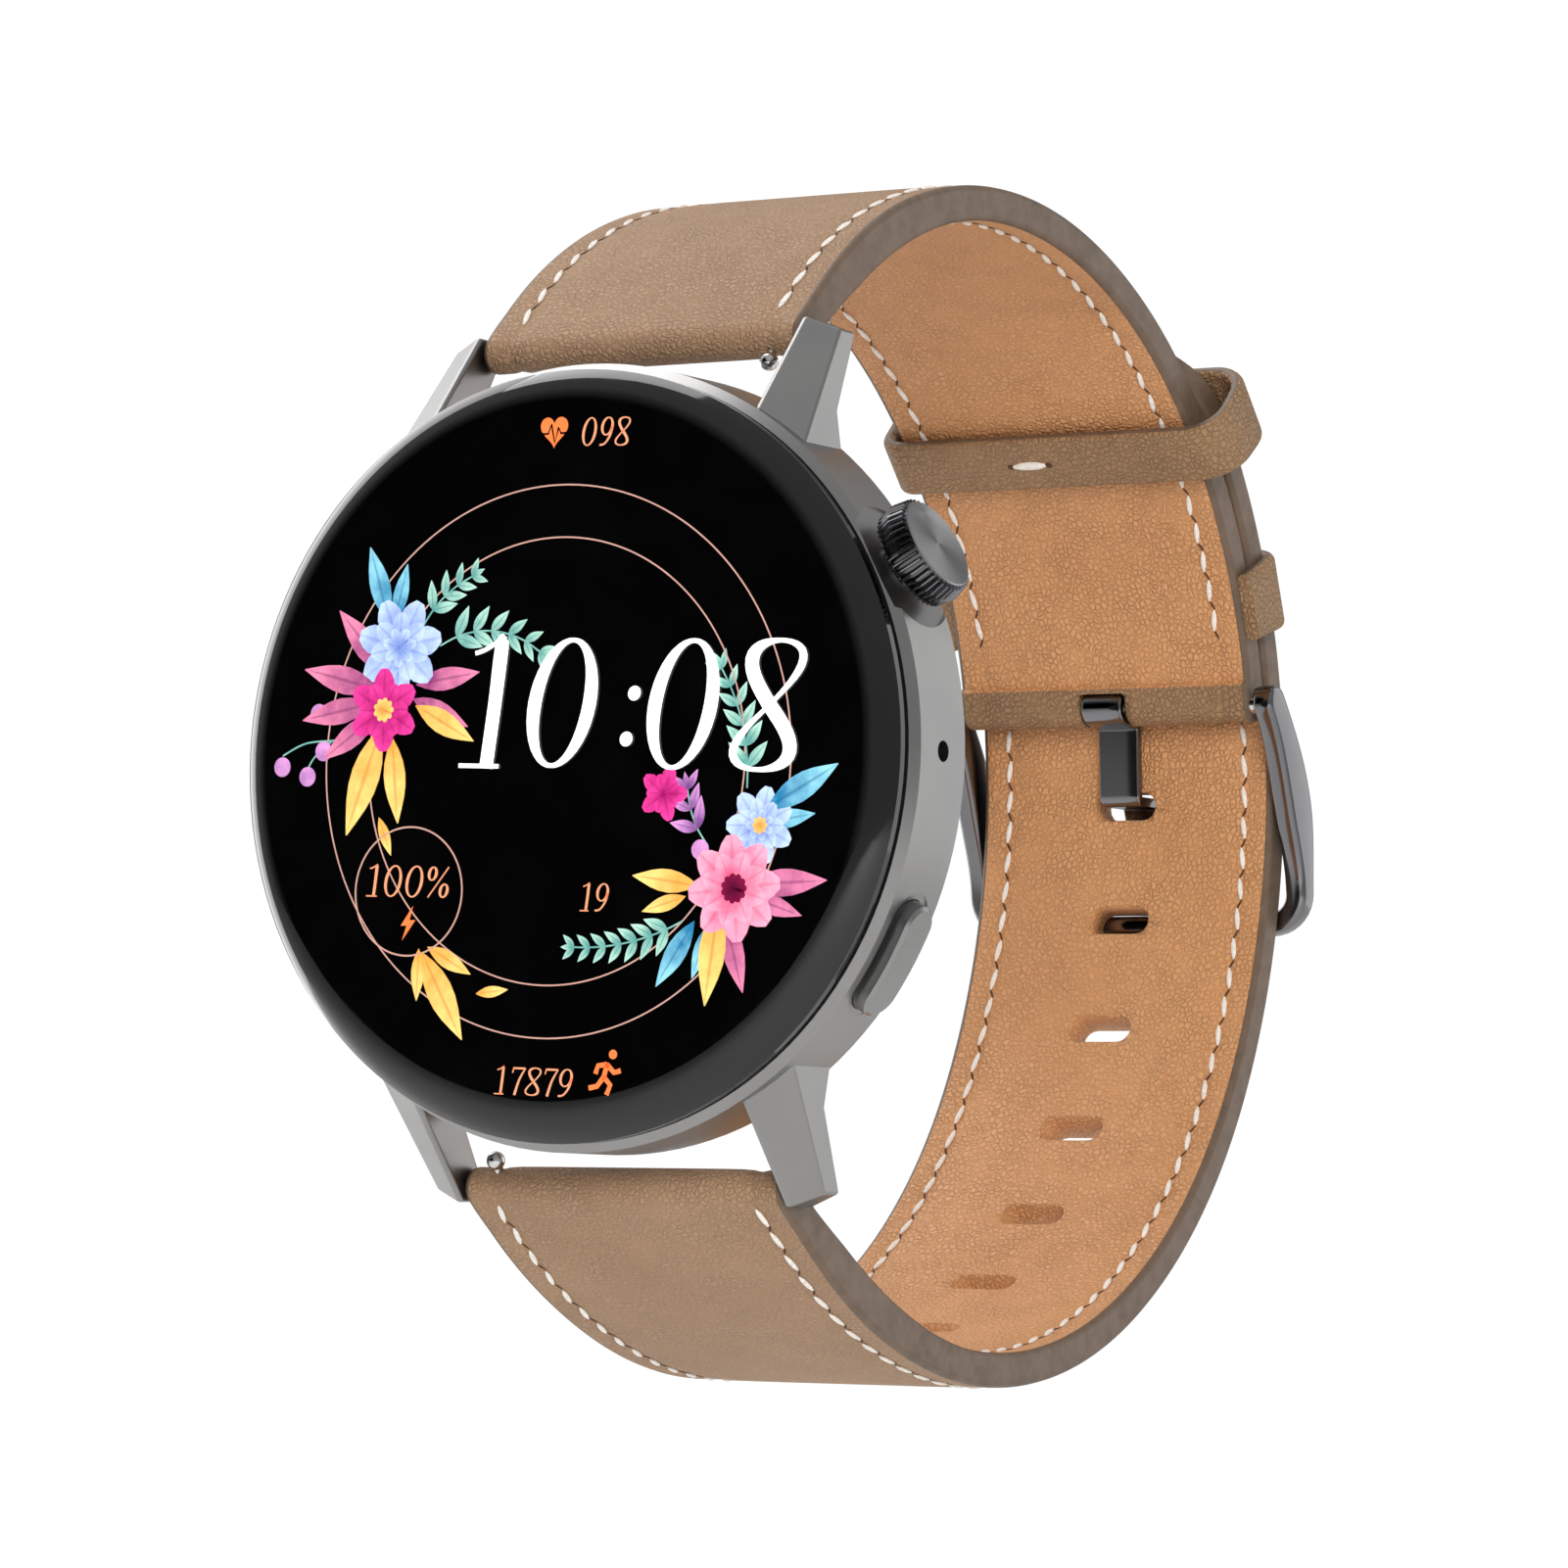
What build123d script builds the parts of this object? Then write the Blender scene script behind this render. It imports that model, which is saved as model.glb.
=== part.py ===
from build123d import *
import os
from math import acos, asin, atan2, cos, degrees, hypot, radians, sin, sqrt

# Smartwatch on a fastened leather strap. Millimetres.
# +Z is 12 o'clock, +X is the crown's side, the dial faces -Y. The origin is the middle of the wrist opening.

# ---- driving dimensions ----
# depths are measured from the front of the cover glass towards the wrist
wrist_to_glass = 38.0
case_diameter = 45.16
case_wall = 1.98
bezel_depth = 2.05
bezel_chamfer = 0.5
flank_end_depth = 7.43
case_back_depth = 9.5
case_back_taper = 1.3

glass_inset = 0.48
glass_thickness = 1.75
glass_edge_reach = 2.4
glass_edge_drop = 1.15
glass_back_chamfer = 0.15
glass_bond = 0.3
display_thickness = 0.9

strap_width_at_lugs = 21.7
strap_width = 21.3
strap_side_clearance = 0.15
lug_overhang = 2.93
lug_tip_depth = 7.86
lug_front_depth = 3.0
lug_facet_start_depth = 3.2
lug_facet_inset = 2.574
lug_side_reach = 3.25
lug_side_inset = 5.18
lug_side_tilt = 8.0
lug_thickness = 3.1
lug_back_slope = 0.61
lug_edge_fillet = 0.25

bar_depth = 9.0
bar_inset = 1.01
bar_tube_radius = 0.75
bar_pin_radius = 0.42
bar_pin_travel = 1.2
bar_end_gap = 0.55
bar_pin_bite = 1.0
knob_inset = 2.2
knob_radius = 0.55
knob_depth_reach = 0.9
knob_height_reach = 1.55

leather_thickness = 1.2
lining_thickness = 0.9
lining_start = 7.0
roll_wall = 0.4
buckle_fold_length = 5.0
upper_loop_radius = 33.5
upper_loop_height = 1.8
bar_inside_loop = 0.465
upper_lead_angle = 110.0
lower_loop_extra = 0.65
lower_loop_depth_shift = 1.3
lower_loop_height = -0.6
lower_lead_angle = -105.0
run_up_bulge = 2.6
layer_gap = 0.4
tail_end_angle = 50.5
tail_point_length = 8.5

hole_pitch = 7.75
hole_length = 4.5
hole_width = 1.7
holes_below = 6
holes_above = 1

keeper_thickness = 0.8
keeper_clearance = 0.3
fixed_keeper_width = 4.5
fixed_keeper_angle = 21.5
free_keeper_width = 4.2
free_keeper_angle = 42.0
keeper_slack = 1.4

buckle_angle = 10.5
buckle_bar_inset = 0.5
buckle_bar_radius = 0.45
buckle_roll_wall = 0.8
buckle_roll_inset = 0.15
buckle_length = 14.75
buckle_rest_gap = 0.12
buckle_bow_share = 0.55
buckle_bow_lean = 9.0
buckle_arm_half_width = 1.15
buckle_belly_half_width = 1.5
buckle_arm_thickness = 1.5
buckle_wire_radius = 0.75
buckle_side_gap = 0.35
tongue_width = 2.9
tongue_thickness = 0.65
tongue_neck_reach = 1.6
tongue_neck_lean = 0.3
tongue_neck_drop = 1.05
tongue_bend_radius = 0.42
tongue_hole_drop = 6.27
tongue_hole_play = 0.29
tongue_step = 0.4
tongue_tip = 1.4
tongue_slot_play = 0.3
tongue_slot_depth = 6.0
tongue_slot_height = 2.7
tongue_slot_drop = 0.55
tongue_rest_width = 1.6
tongue_rest_height = 4.0

crown_angle = 27.9
crown_depth = 5.0
crown_diameter = 6.2
crown_height = 2.1
crown_stand_out = 2.34
crown_rim_step = 0.25
crown_teeth = 44
crown_travel = 0.4
crown_pocket_margin = 0.8
crown_pocket_depth = 0.45
crown_tube_radius = 1.45
stem_radius = 0.75
clip_radius = 1.1
clip_thickness = 0.4
carrier_radius = 1.25

button_angle = -30.5
button_depth = 5.0
button_length = 7.0
button_width = 2.7
button_rise = 0.87
button_height = 1.3
button_travel = 0.5
button_recess_margin = 0.45
button_recess_depth = 0.35
button_stem_radius = 0.5
button_stem_spread = 2.0
button_stem_bite = 0.7
button_edge_chamfer = 0.18
button_neck_radius = 0.33

frame_front, frame_back, pocket_back = 2.95, 3.55, 5.0
battery_width, battery_height, battery_x = 20.0, 22.0, 1.0
battery_front, battery_back = 3.6, 7.1
board_front, board_back = 7.4, 8.0
shield_height = 0.5
flex_width = 8.0
flex_thickness = 0.3
flex_inset = 2.4
motor_x, motor_z = -14.6, 4.8
motor_front, motor_radius, motor_wall = 4.2, 4.2, 0.5
rotor_front, rotor_back, rotor_radius, rotor_hub = 4.9, 6.4, 3.3, 0.9
motor_shaft_radius = 0.4
speaker_x, speaker_z, speaker_front = -13.3, -7.0, 4.8
sensor_board_radius = 9.0
led_height = 0.6
led_circle = 4.6
light_dam_radius = 7.2
window_radius = 12.2
window_seat = 9.7
window_ledge = 1.7
cover_front, cover_back = 8.6, 10.3
gasket_width, gasket_front, gasket_back = 0.6, 8.95, 9.3
boss_radius, boss_inset, boss_front = 1.9, 1.6, 6.2
screw_angles = (62, 118, 242, 298)
screw_head_radius, screw_radius, screw_head_height = 1.05, 0.5, 0.5
contact_x, contact_z, contact_radius = 1.8, -15.6, 0.85
microphone_hole_radius = 0.6

running_gap = 0.05
seat_gap = 0.02
cut_margin = 5.0

# ---- worked out from them ----
case_radius = case_diameter / 2
cavity_radius = case_radius - case_wall
glass_diameter = case_diameter - 2 * glass_inset
lug_gap = strap_width_at_lugs + 2 * strap_side_clearance
half_lug_gap = lug_gap / 2
lug_reach = case_radius + lug_overhang
bar_height = lug_reach - bar_inset
tube_end = half_lug_gap - bar_end_gap
pin_reach = half_lug_gap + bar_pin_bite
knob_x = half_lug_gap - knob_inset
roll_radius = bar_tube_radius + running_gap + roll_wall
strap_thickness = leather_thickness + lining_thickness
seat_depth = glass_thickness + glass_bond
flex_z = -(cavity_radius - flex_inset)

loop_rise = bar_height - upper_loop_height
loop_depth = bar_depth + sqrt((upper_loop_radius - bar_inside_loop) ** 2 - loop_rise ** 2)
lower_loop_radius = upper_loop_radius + lower_loop_extra
tail_radius = upper_loop_radius + strap_thickness + layer_gap
run_up_radius = tail_radius + run_up_bulge
upper_centre = (loop_depth, upper_loop_height)
lower_centre = (loop_depth + lower_loop_depth_shift, lower_loop_height)
skin_high = strap_thickness / 2
skin_low = skin_high - leather_thickness
lining_low = -strap_thickness / 2
buckle_roll_radius = buckle_bar_radius + buckle_roll_wall
tongue_curl_radius = buckle_bar_radius + running_gap + tongue_thickness

crown_face_radius = case_radius + crown_stand_out
crown_pocket_radius = crown_diameter / 2 + crown_pocket_margin
stem_end = cavity_radius - 3.4
clip_low = stem_end + 0.4
clip_high = clip_low + clip_thickness
tube_low = cavity_radius - 0.6
seal_low, seal_high = cavity_radius + 0.3, cavity_radius + 0.9
button_low = case_radius + button_rise - button_height
button_floor = button_low - button_travel - 0.15
button_stem_end = cavity_radius - 1.25
button_clip_low = button_stem_end + 0.5
button_clip_high = button_clip_low + clip_thickness


# ---- helpers ----
def y_at(depth):
    """The model's Y of a depth behind the glass front."""
    return depth - wrist_to_glass


def disc(radius, front, back, x=0.0, z=0.0):
    """A disc along Y between two depths."""
    middle = y_at((front + back) / 2)
    return Pos(x, middle, z) * Rot(90, 0, 0) * Cylinder(radius, back - front)


def ring(outer, inner, front, back):
    return disc(outer, front, back) - disc(inner, front - 1, back + 1)


def block(x_size, z_size, front, back, x=0.0, z=0.0):
    return Pos(x, y_at((front + back) / 2), z) * Box(x_size, back - front, z_size)


def spoke(angle, depth):
    """A place whose Z runs out along a case radius, X runs towards the wrist, Y is tangent."""
    out = (cos(radians(angle)), 0, sin(radians(angle)))
    return Plane(origin=(0, y_at(depth), 0), x_dir=(0, 1, 0), z_dir=out).location


def rod(place, radius, low, high):
    return place * Pos(0, 0, (low + high) / 2) * Cylinder(radius, high - low)


def x_rod(radius, x_low, x_high, depth, z):
    return Pos((x_low + x_high) / 2, y_at(depth), z) * Rot(0, 90, 0) * Cylinder(radius, x_high - x_low)


def polar(centre, radius, angle):
    return (centre[0] + radius * cos(radians(angle)), centre[1] + radius * sin(radians(angle)))


def side_face(edges):
    """A face in the YZ plane from edges given as (depth, height)."""
    return Pos(0, y_at(0), 0) * (Plane.YZ * make_face(edges))


def side_plate(edges, width):
    return extrude(side_face(edges), width / 2, both=True)


def mirror_z(part):
    return mirror(part, about=Plane.XY)


# ---- the line of the strap ----
# Arcs (centre, radius, start angle, end angle) along the middle of the strap's thickness, in (depth, height).
def lead_in(centre, radius, join_angle, point):
    """The arc that passes through a point and runs on smoothly into a circle at join_angle."""
    u = (cos(radians(join_angle)), sin(radians(join_angle)))
    v = (point[0] - centre[0], point[1] - centre[1])
    reach = (v[0] ** 2 + v[1] ** 2 - radius ** 2) / (2 * (radius - v[0] * u[0] - v[1] * u[1]))
    middle = (centre[0] - reach * u[0], centre[1] - reach * u[1])
    start = degrees(atan2(point[1] - middle[1], point[0] - middle[0]))
    return middle, radius + reach, start, join_angle


def joining_circle(centre_a, radius_a, centre_b, radius_b, radius):
    """The centre of a circle that encloses two circles and touches both from outside."""
    reach_a, reach_b = radius - radius_a, radius - radius_b
    span = hypot(centre_b[0] - centre_a[0], centre_b[1] - centre_a[1])
    direction = atan2(centre_b[1] - centre_a[1], centre_b[0] - centre_a[0])
    turn = acos((reach_a ** 2 + span ** 2 - reach_b ** 2) / (2 * reach_a * span))
    sides = [polar(centre_a, reach_a, degrees(direction + s * turn)) for s in (1, -1)]
    return min(sides)


def angle_between(start, end):
    return degrees(atan2(end[1] - start[1], end[0] - start[0]))


run_up_centre = joining_circle(lower_centre, lower_loop_radius, upper_centre, tail_radius, run_up_radius)
run_up_start = angle_between(run_up_centre, lower_centre)
run_up_end = angle_between(run_up_centre, upper_centre)

upper_lead = lead_in(upper_centre, upper_loop_radius, upper_lead_angle, (bar_depth, bar_height))
lower_lead = lead_in(lower_centre, lower_loop_radius, lower_lead_angle, (bar_depth, -bar_height))
upper_arcs = [upper_lead, (upper_centre, upper_loop_radius, upper_lead_angle, buckle_angle)]
lower_arcs = [
    lower_lead,
    (lower_centre, lower_loop_radius, lower_lead_angle, run_up_start),
    (run_up_centre, run_up_radius, run_up_start, run_up_end),
    (upper_centre, tail_radius, run_up_end, tail_end_angle),
]
pivot = polar(upper_centre, upper_loop_radius - buckle_bar_inset, buckle_angle)
buckle_roll_centre = polar(upper_centre, upper_loop_radius - buckle_roll_inset, buckle_angle)


def arc_length(arc):
    return arc[1] * radians(abs(arc[3] - arc[2]))


def trimmed(arcs, start, end):
    """The same line between two distances along it."""
    kept, passed = [], 0.0
    for centre, radius, first, last in arcs:
        length = arc_length((centre, radius, first, last))
        low, high = max(start - passed, 0), min(end - passed, length)
        if high > low + 1e-6:
            turn = (last - first) / length
            kept.append((centre, radius, first + turn * low, first + turn * high))
        passed += length
    return kept


def place_along(arcs, distance):
    """A place on the line: its Z points away from the wrist, its X is the watch's X."""
    centre, radius, first, last = trimmed(arcs, 0, distance)[-1]
    angle = last
    depth, height = polar(centre, radius, angle)
    out = (0, cos(radians(angle)), sin(radians(angle)))
    return Plane(origin=(0, y_at(depth), height), x_dir=(1, 0, 0), z_dir=out).location


def arc_edge(arc, offset):
    centre, radius, first, last = arc
    points = [polar(centre, radius + offset, a) for a in (first, (first + last) / 2, last)]
    return ThreePointArc(*points)


def band(arcs, low, high, width):
    """A strip of the strap between two offsets from its middle line."""
    outer = [arc_edge(arc, high) for arc in arcs]
    inner = [arc_edge(arc, low) for arc in arcs]
    ends = [Line(outer[0] @ 0, inner[0] @ 0), Line(outer[-1] @ 1, inner[-1] @ 1)]
    return side_plate(outer + inner + ends, width)


def strap_plan():
    """The strap's outline seen from above: a little wider between the lugs."""
    wide, narrow = strap_width_at_lugs / 2, strap_width / 2
    near, far = bar_depth + 2, bar_depth + 14
    points = [(-wide, -5), (wide, -5), (wide, near), (narrow, far), (narrow, 90)]
    points += [(-narrow, 90), (-narrow, far), (-wide, near)]
    outline = make_face(Polyline(*[(x, y_at(d)) for x, d in points], close=True))
    return extrude(outline, 80, both=True)


upper_length = sum(arc_length(a) for a in upper_arcs)
lower_length = sum(arc_length(a) for a in lower_arcs)
tongue_hole_height = pivot[1] - tongue_hole_drop
tongue_hole_rise = degrees(asin((tongue_hole_height - run_up_centre[1]) / run_up_radius))
tongue_hole_at = arc_length(lower_arcs[0]) + arc_length(lower_arcs[1])
tongue_hole_at += run_up_radius * radians(tongue_hole_rise - run_up_start)


# ---- display ----
def cover_glass():
    """A disc whose front edge falls away in one wide arc that starts level with the flat."""
    outer = glass_diameter / 2
    flat = outer - glass_edge_reach
    bend = (glass_edge_reach ** 2 + glass_edge_drop ** 2) / (2 * glass_edge_drop)
    half_turn = asin(glass_edge_reach / bend) / 2
    middle = (flat + bend * sin(half_turn), y_at(bend - bend * cos(half_turn)))
    start, rim = (flat, y_at(0)), (outer, y_at(glass_edge_drop))
    low = outer - glass_back_chamfer
    sides = [rim, (outer, y_at(glass_thickness - glass_back_chamfer)), (low, y_at(glass_thickness))]
    sides += [(0, y_at(glass_thickness)), (0, y_at(0)), start]
    return revolve(make_face([ThreePointArc(start, middle, rim), *Polyline(*sides).edges()]), Axis.Y)


def glass_adhesive():
    return ring(glass_diameter / 2 - 0.25, cavity_radius + 0.15, glass_thickness, seat_depth)


def display_panel():
    return disc(cavity_radius - 0.2, glass_thickness, glass_thickness + display_thickness)


def display_flex():
    strip = block(flex_width, flex_thickness, glass_thickness + display_thickness, board_front, z=flex_z)
    return strip + block(flex_width, 1.6, board_front - flex_thickness, board_front, z=flex_z + 0.6)


# ---- case ----
def lug():
    """One lug, upper right: a slanted bar with a flat inner side, a front facet and a slanted tip."""
    inner = half_lug_gap
    slope = (lug_tip_depth - lug_facet_start_depth) / (lug_overhang + lug_facet_inset)
    low = lug_reach - (lug_tip_depth - lug_front_depth) / slope
    back = lug_tip_depth + lug_thickness
    root = lug_reach - (back - flank_end_depth) / lug_back_slope
    inside = case_radius - 8.58
    points = [(lug_tip_depth, lug_reach), (lug_front_depth, low), (lug_front_depth, inside)]
    points += [(flank_end_depth, inside)]
    points += [(flank_end_depth, root), (back, lug_reach)]
    outline = side_face(Polyline(*points, close=True))
    solid = Pos(inner, 0, 0) * extrude(outline, 5, dir=(1, 0, 0))
    tip = (inner, y_at(lug_tip_depth), lug_reach)
    side_lean = (cos(radians(lug_side_tilt)), 0, sin(radians(lug_side_tilt)))
    side_middle = (inner + lug_side_reach, y_at(5), case_radius - lug_side_inset)
    side = Plane(origin=side_middle, z_dir=side_lean)
    solid = split(solid, bisect_by=side, keep=Keep.BOTTOM)
    solid = split(solid, bisect_by=Plane(origin=tip, z_dir=(0.354, 0.016, 0.935)), keep=Keep.BOTTOM)
    facet = Plane(origin=tip, z_dir=(0.44, -0.64, 0.64 * slope))
    solid = split(solid, bisect_by=facet, keep=Keep.BOTTOM)
    solid = fillet(solid.edges(), lug_edge_fillet)
    return solid - disc(cavity_radius + 0.9, 0, 20)


def screw_places():
    return [polar((0, 0), cavity_radius - boss_inset, angle) for angle in screw_angles]


def case_wall_ring():
    front = [(cavity_radius, bezel_depth), (case_radius - bezel_chamfer, bezel_depth)]
    flank = [(case_radius, bezel_depth + bezel_chamfer), (case_radius, flank_end_depth)]
    back = [(case_radius - case_back_taper, case_back_depth), (cavity_radius, case_back_depth)]
    outline = Polyline(*[(r, y_at(d)) for r, d in front + flank + back], close=True)
    return revolve(make_face(outline), Axis.Y)


def pill(place, length, width, low, high):
    outline = place * Pos(0, 0, low) * Rot(0, 0, 90) * SlotOverall(length, width)
    return extrude(outline, high - low)


def case_body():
    crown, button = spoke(crown_angle, crown_depth), spoke(button_angle, button_depth)
    body = case_wall_ring()
    upper_right = lug()
    upper_left = mirror(upper_right, about=Plane.YZ)
    for arm in (upper_right, upper_left, mirror_z(upper_right), mirror_z(upper_left)):
        body += arm
    for x, z in screw_places():
        body += disc(boss_radius, boss_front, cover_front, x, z) & disc(cavity_radius + 0.5, 6, 10)
    pin_end = half_lug_gap + 1.1
    for side in (1, -1):
        body -= x_rod(bar_pin_radius + 0.03, -pin_end, pin_end, bar_depth, side * bar_height)
    outside, inside = case_radius + cut_margin, cavity_radius - cut_margin
    body -= rod(crown, crown_pocket_radius, case_radius - crown_pocket_depth, outside)
    body -= rod(crown, crown_tube_radius, inside, outside)
    margin = 2 * button_recess_margin
    recess_floor = case_radius - button_recess_depth
    body -= pill(button, button_length + margin, button_width + margin, recess_floor, outside)
    gap = 2 * running_gap
    body -= pill(button, button_length + gap, button_width + gap, button_floor, outside)
    for offset in (-1, 1):
        bore = button * Pos(0, offset * button_stem_spread, 0)
        body -= rod(bore, button_stem_radius + running_gap, inside, outside)
    body -= rod(spoke(0, crown_depth), microphone_hole_radius, inside, outside)
    for x, z in screw_places():
        body -= disc(screw_radius + running_gap, 7.2, 10, x, z)
    return body


def inner_frame():
    plate = ring(cavity_radius - 0.3, 3, frame_front, frame_back)
    plate -= block(flex_width + 0.6, 2.4, 2, 4, z=flex_z + 0.1)
    pocket = block(battery_width + 1.4, battery_height + 1.4, frame_back, pocket_back, x=battery_x)
    pocket -= block(battery_width + 0.2, battery_height + 0.2, 3, 6, x=battery_x)
    return plate + pocket


def battery():
    cell = block(battery_width, battery_height, battery_front, battery_back, x=battery_x)
    return fillet(cell.edges().filter_by(Axis.Y), 2.0)


def main_board():
    board = disc(cavity_radius - 0.6, board_front, board_back)
    for x, z in screw_places():
        board -= disc(boss_radius + 0.3, boss_front, 10, x, z)
    return board


def board_shields():
    places = ((-4, 11.8), (6, 11.8), (0, -11.8))
    return [block(8, 4.8, board_back, board_back + shield_height, x, z) for x, z in places]


def haptic_motor_can():
    can = disc(motor_radius, motor_front, board_front, motor_x, motor_z)
    return can - disc(motor_radius - motor_wall, motor_front + 0.3, board_front - 0.6, motor_x, motor_z)


def haptic_motor_shaft():
    return disc(motor_shaft_radius, motor_front + 0.3, board_front - 0.6, motor_x, motor_z)


def haptic_rotor():
    weight = disc(rotor_radius, rotor_front, rotor_back, motor_x, motor_z)
    weight -= block(8, 4, 4, 7, motor_x, motor_z - 2.8)
    hub = disc(rotor_hub, rotor_front, rotor_back, motor_x, motor_z)
    return weight + hub - disc(motor_shaft_radius + running_gap, 4, 7, motor_x, motor_z)


def speaker_module():
    box = block(5.4, 7.8, speaker_front, board_front, speaker_x, speaker_z)
    return fillet(box.edges().filter_by(Axis.Y), 0.8)


def microphone():
    place = spoke(0, crown_depth)
    return place * Pos(0, 0, cavity_radius - 1.5) * Box(2.0, 2.6, 1.0)


def microphone_mesh():
    return rod(spoke(0, crown_depth), microphone_hole_radius, case_radius - 1.1, case_radius - 0.8)


def sensor_board():
    return disc(sensor_board_radius, board_back + 0.1, board_back + shield_height)


def sensor_leds():
    places = [polar((0, 0), led_circle, a) for a in range(0, 360, 60)] + [(0, 0)]
    front = board_back + shield_height
    return [block(1.8, 1.4, front, front + led_height, x, z) for x, z in places]


def sensor_light_dam():
    return ring(light_dam_radius, light_dam_radius - 0.8, board_back + shield_height, window_seat - 0.05)


def sensor_window():
    dome = disc(window_radius, window_seat, cover_back + 0.9)
    dome = fillet(dome.edges().filter_by(GeomType.CIRCLE).sort_by(Axis.Y)[-1], 0.8)
    return dome


def back_cover():
    plate = disc(cavity_radius - 0.08, cover_front, cover_back)
    plate = fillet(plate.edges().filter_by(GeomType.CIRCLE).sort_by(Axis.Y)[-1], 0.7)
    plate -= ring(cavity_radius + 1, cavity_radius - gasket_width, gasket_front, gasket_back)
    plate -= disc(window_radius + running_gap, window_seat, 20)
    plate -= disc(window_radius - window_ledge, cover_front - 1, 20)
    for x, z in screw_places():
        plate -= disc(screw_radius + 0.15, 8, 12, x, z)
        plate -= disc(screw_head_radius + 0.1, cover_back - screw_head_height - 0.05, 12, x, z)
    for side in (-1, 1):
        plate -= disc(contact_radius + running_gap, 8, 12, side * contact_x, contact_z)
    return plate


def back_cover_gasket():
    return ring(cavity_radius, cavity_radius - gasket_width, gasket_front, gasket_back)


def back_cover_screws():
    screws = []
    for x, z in screw_places():
        seat = cover_back - screw_head_height - 0.05
        screw = disc(screw_head_radius, seat, seat + screw_head_height, x, z)
        screw += disc(screw_radius, 7.3, seat + 0.05, x, z)
        slots = [block(a, b, cover_back - 0.35, cover_back, x, z) for a, b in ((1.3, 0.3), (0.3, 1.3))]
        screws.append(screw - slots[0] - slots[1])
    return screws


def charging_contacts():
    low, high = cover_front - 0.3, cover_back + 0.05
    return [disc(contact_radius, low, high, side * contact_x, contact_z) for side in (-1, 1)]


# ---- crown ----
def crown_head():
    place = spoke(crown_angle, crown_depth)
    rim, ridge, height = crown_diameter / 2 - crown_rim_step, crown_diameter / 2, crown_height
    base = crown_face_radius - height
    outline = [(0, base), (rim, base), (ridge, base + 0.55 * height)]
    outline += [(rim, crown_face_radius - 0.15), (rim - 0.25, crown_face_radius), (0, crown_face_radius)]
    drum = revolve(Plane.XZ * make_face(Polyline(*outline, close=True)), Axis.Z)
    for index in range(crown_teeth):
        turn = Rot(0, 0, index * 360 / crown_teeth)
        drum -= turn * Pos(ridge + 0.12, 0, base + height / 2) * Box(0.62, 0.19, height + 1)
    drum -= Pos(0, 0, base) * Cylinder(crown_tube_radius + 0.3, 1.0)
    return place * drum


def crown_stem():
    place = spoke(crown_angle, crown_depth)
    head_base = crown_face_radius - crown_height + 0.5
    stem = rod(place, stem_radius, stem_end, head_base)
    neck = rod(place, stem_radius, clip_low, clip_high) - rod(place, 0.5, clip_low, clip_high)
    return stem - neck


def crown_clip():
    place = spoke(crown_angle, crown_depth)
    clip = rod(place, clip_radius, clip_low + seat_gap, clip_high - seat_gap)
    return clip - rod(place, 0.5, clip_low - 1, clip_high + 1)


def crown_carrier():
    """The collar that slides with the crown but doesn't turn; it keeps the stem square in the tube."""
    place = spoke(crown_angle, crown_depth)
    low, high = clip_high + seat_gap, tube_low - running_gap
    return rod(place, carrier_radius, low, high) - rod(place, stem_radius + running_gap, low - 1, high + 1)


def crown_tube():
    place = spoke(crown_angle, crown_depth)
    low, high = tube_low, case_radius - crown_pocket_depth + 0.15
    tube = rod(place, crown_tube_radius, low, high)
    tube -= rod(place, stem_radius + running_gap, low - 1, high + 1)
    return tube - rod(place, clip_radius, seal_low, seal_high)


def crown_seal():
    place = spoke(crown_angle, crown_depth)
    seal = rod(place, clip_radius - seat_gap, seal_low, seal_high)
    return seal - rod(place, stem_radius + seat_gap, seal_low - 1, seal_high + 1)


def crown_switch():
    """The dome switch and turn sensor behind the stem."""
    place = spoke(crown_angle, crown_depth)
    top = stem_end - crown_travel - 0.08
    dome = rod(place, 0.9, top - 0.5, top)
    return dome + place * Pos(0, 0, top - 0.8) * Box(2.8, 3.6, 0.6)


# ---- side button ----
def button_cap():
    place = spoke(button_angle, button_depth)
    cap = pill(place, button_length, button_width, button_low, case_radius + button_rise + 1)
    cap &= disc(case_radius + button_rise, 0, 10)
    rim = cap.edges().filter_by(lambda e: hypot(e.center().X, e.center().Z) > case_radius + 0.4)
    rim = rim.filter_by(lambda e: abs(e.bounding_box().size.Y) < button_width + 0.1)
    cap = chamfer(rim, button_edge_chamfer)
    for offset in (-1, 1):
        spot = place * Pos(0, offset * button_stem_spread, 0)
        cap -= rod(spot, button_stem_radius, button_low - 1, button_low + button_stem_bite)
    return cap


def button_stem():
    place = spoke(button_angle, button_depth)
    top = button_low + button_stem_bite
    stems = []
    for offset in (-1, 1):
        spot = place * Pos(0, offset * button_stem_spread, 0)
        groove = rod(spot, 1, button_clip_low, button_clip_high)
        groove -= rod(spot, button_neck_radius, stem_end, case_radius)
        stems.append(rod(spot, button_stem_radius, button_stem_end, top) - groove)
    return stems


def button_clip():
    place = spoke(button_angle, button_depth)
    plate = place * Pos(0, 0, (button_clip_low + button_clip_high) / 2)
    plate *= Box(2.0, 2 * button_stem_spread + 2, clip_thickness - 2 * seat_gap)
    for offset in (-1, 1):
        spot = place * Pos(0, offset * button_stem_spread, 0)
        plate -= rod(spot, button_neck_radius, stem_end, case_radius)
    return plate


def button_seal():
    place = spoke(button_angle, button_depth)
    low = button_floor
    seals = []
    for offset in (-1, 1):
        spot = place * Pos(0, offset * button_stem_spread, 0)
        hole = rod(spot, button_stem_radius + seat_gap, low - 1, low + 1)
        seals.append(rod(spot, 0.85, low, low + 0.12) - hole)
    return seals


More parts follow.
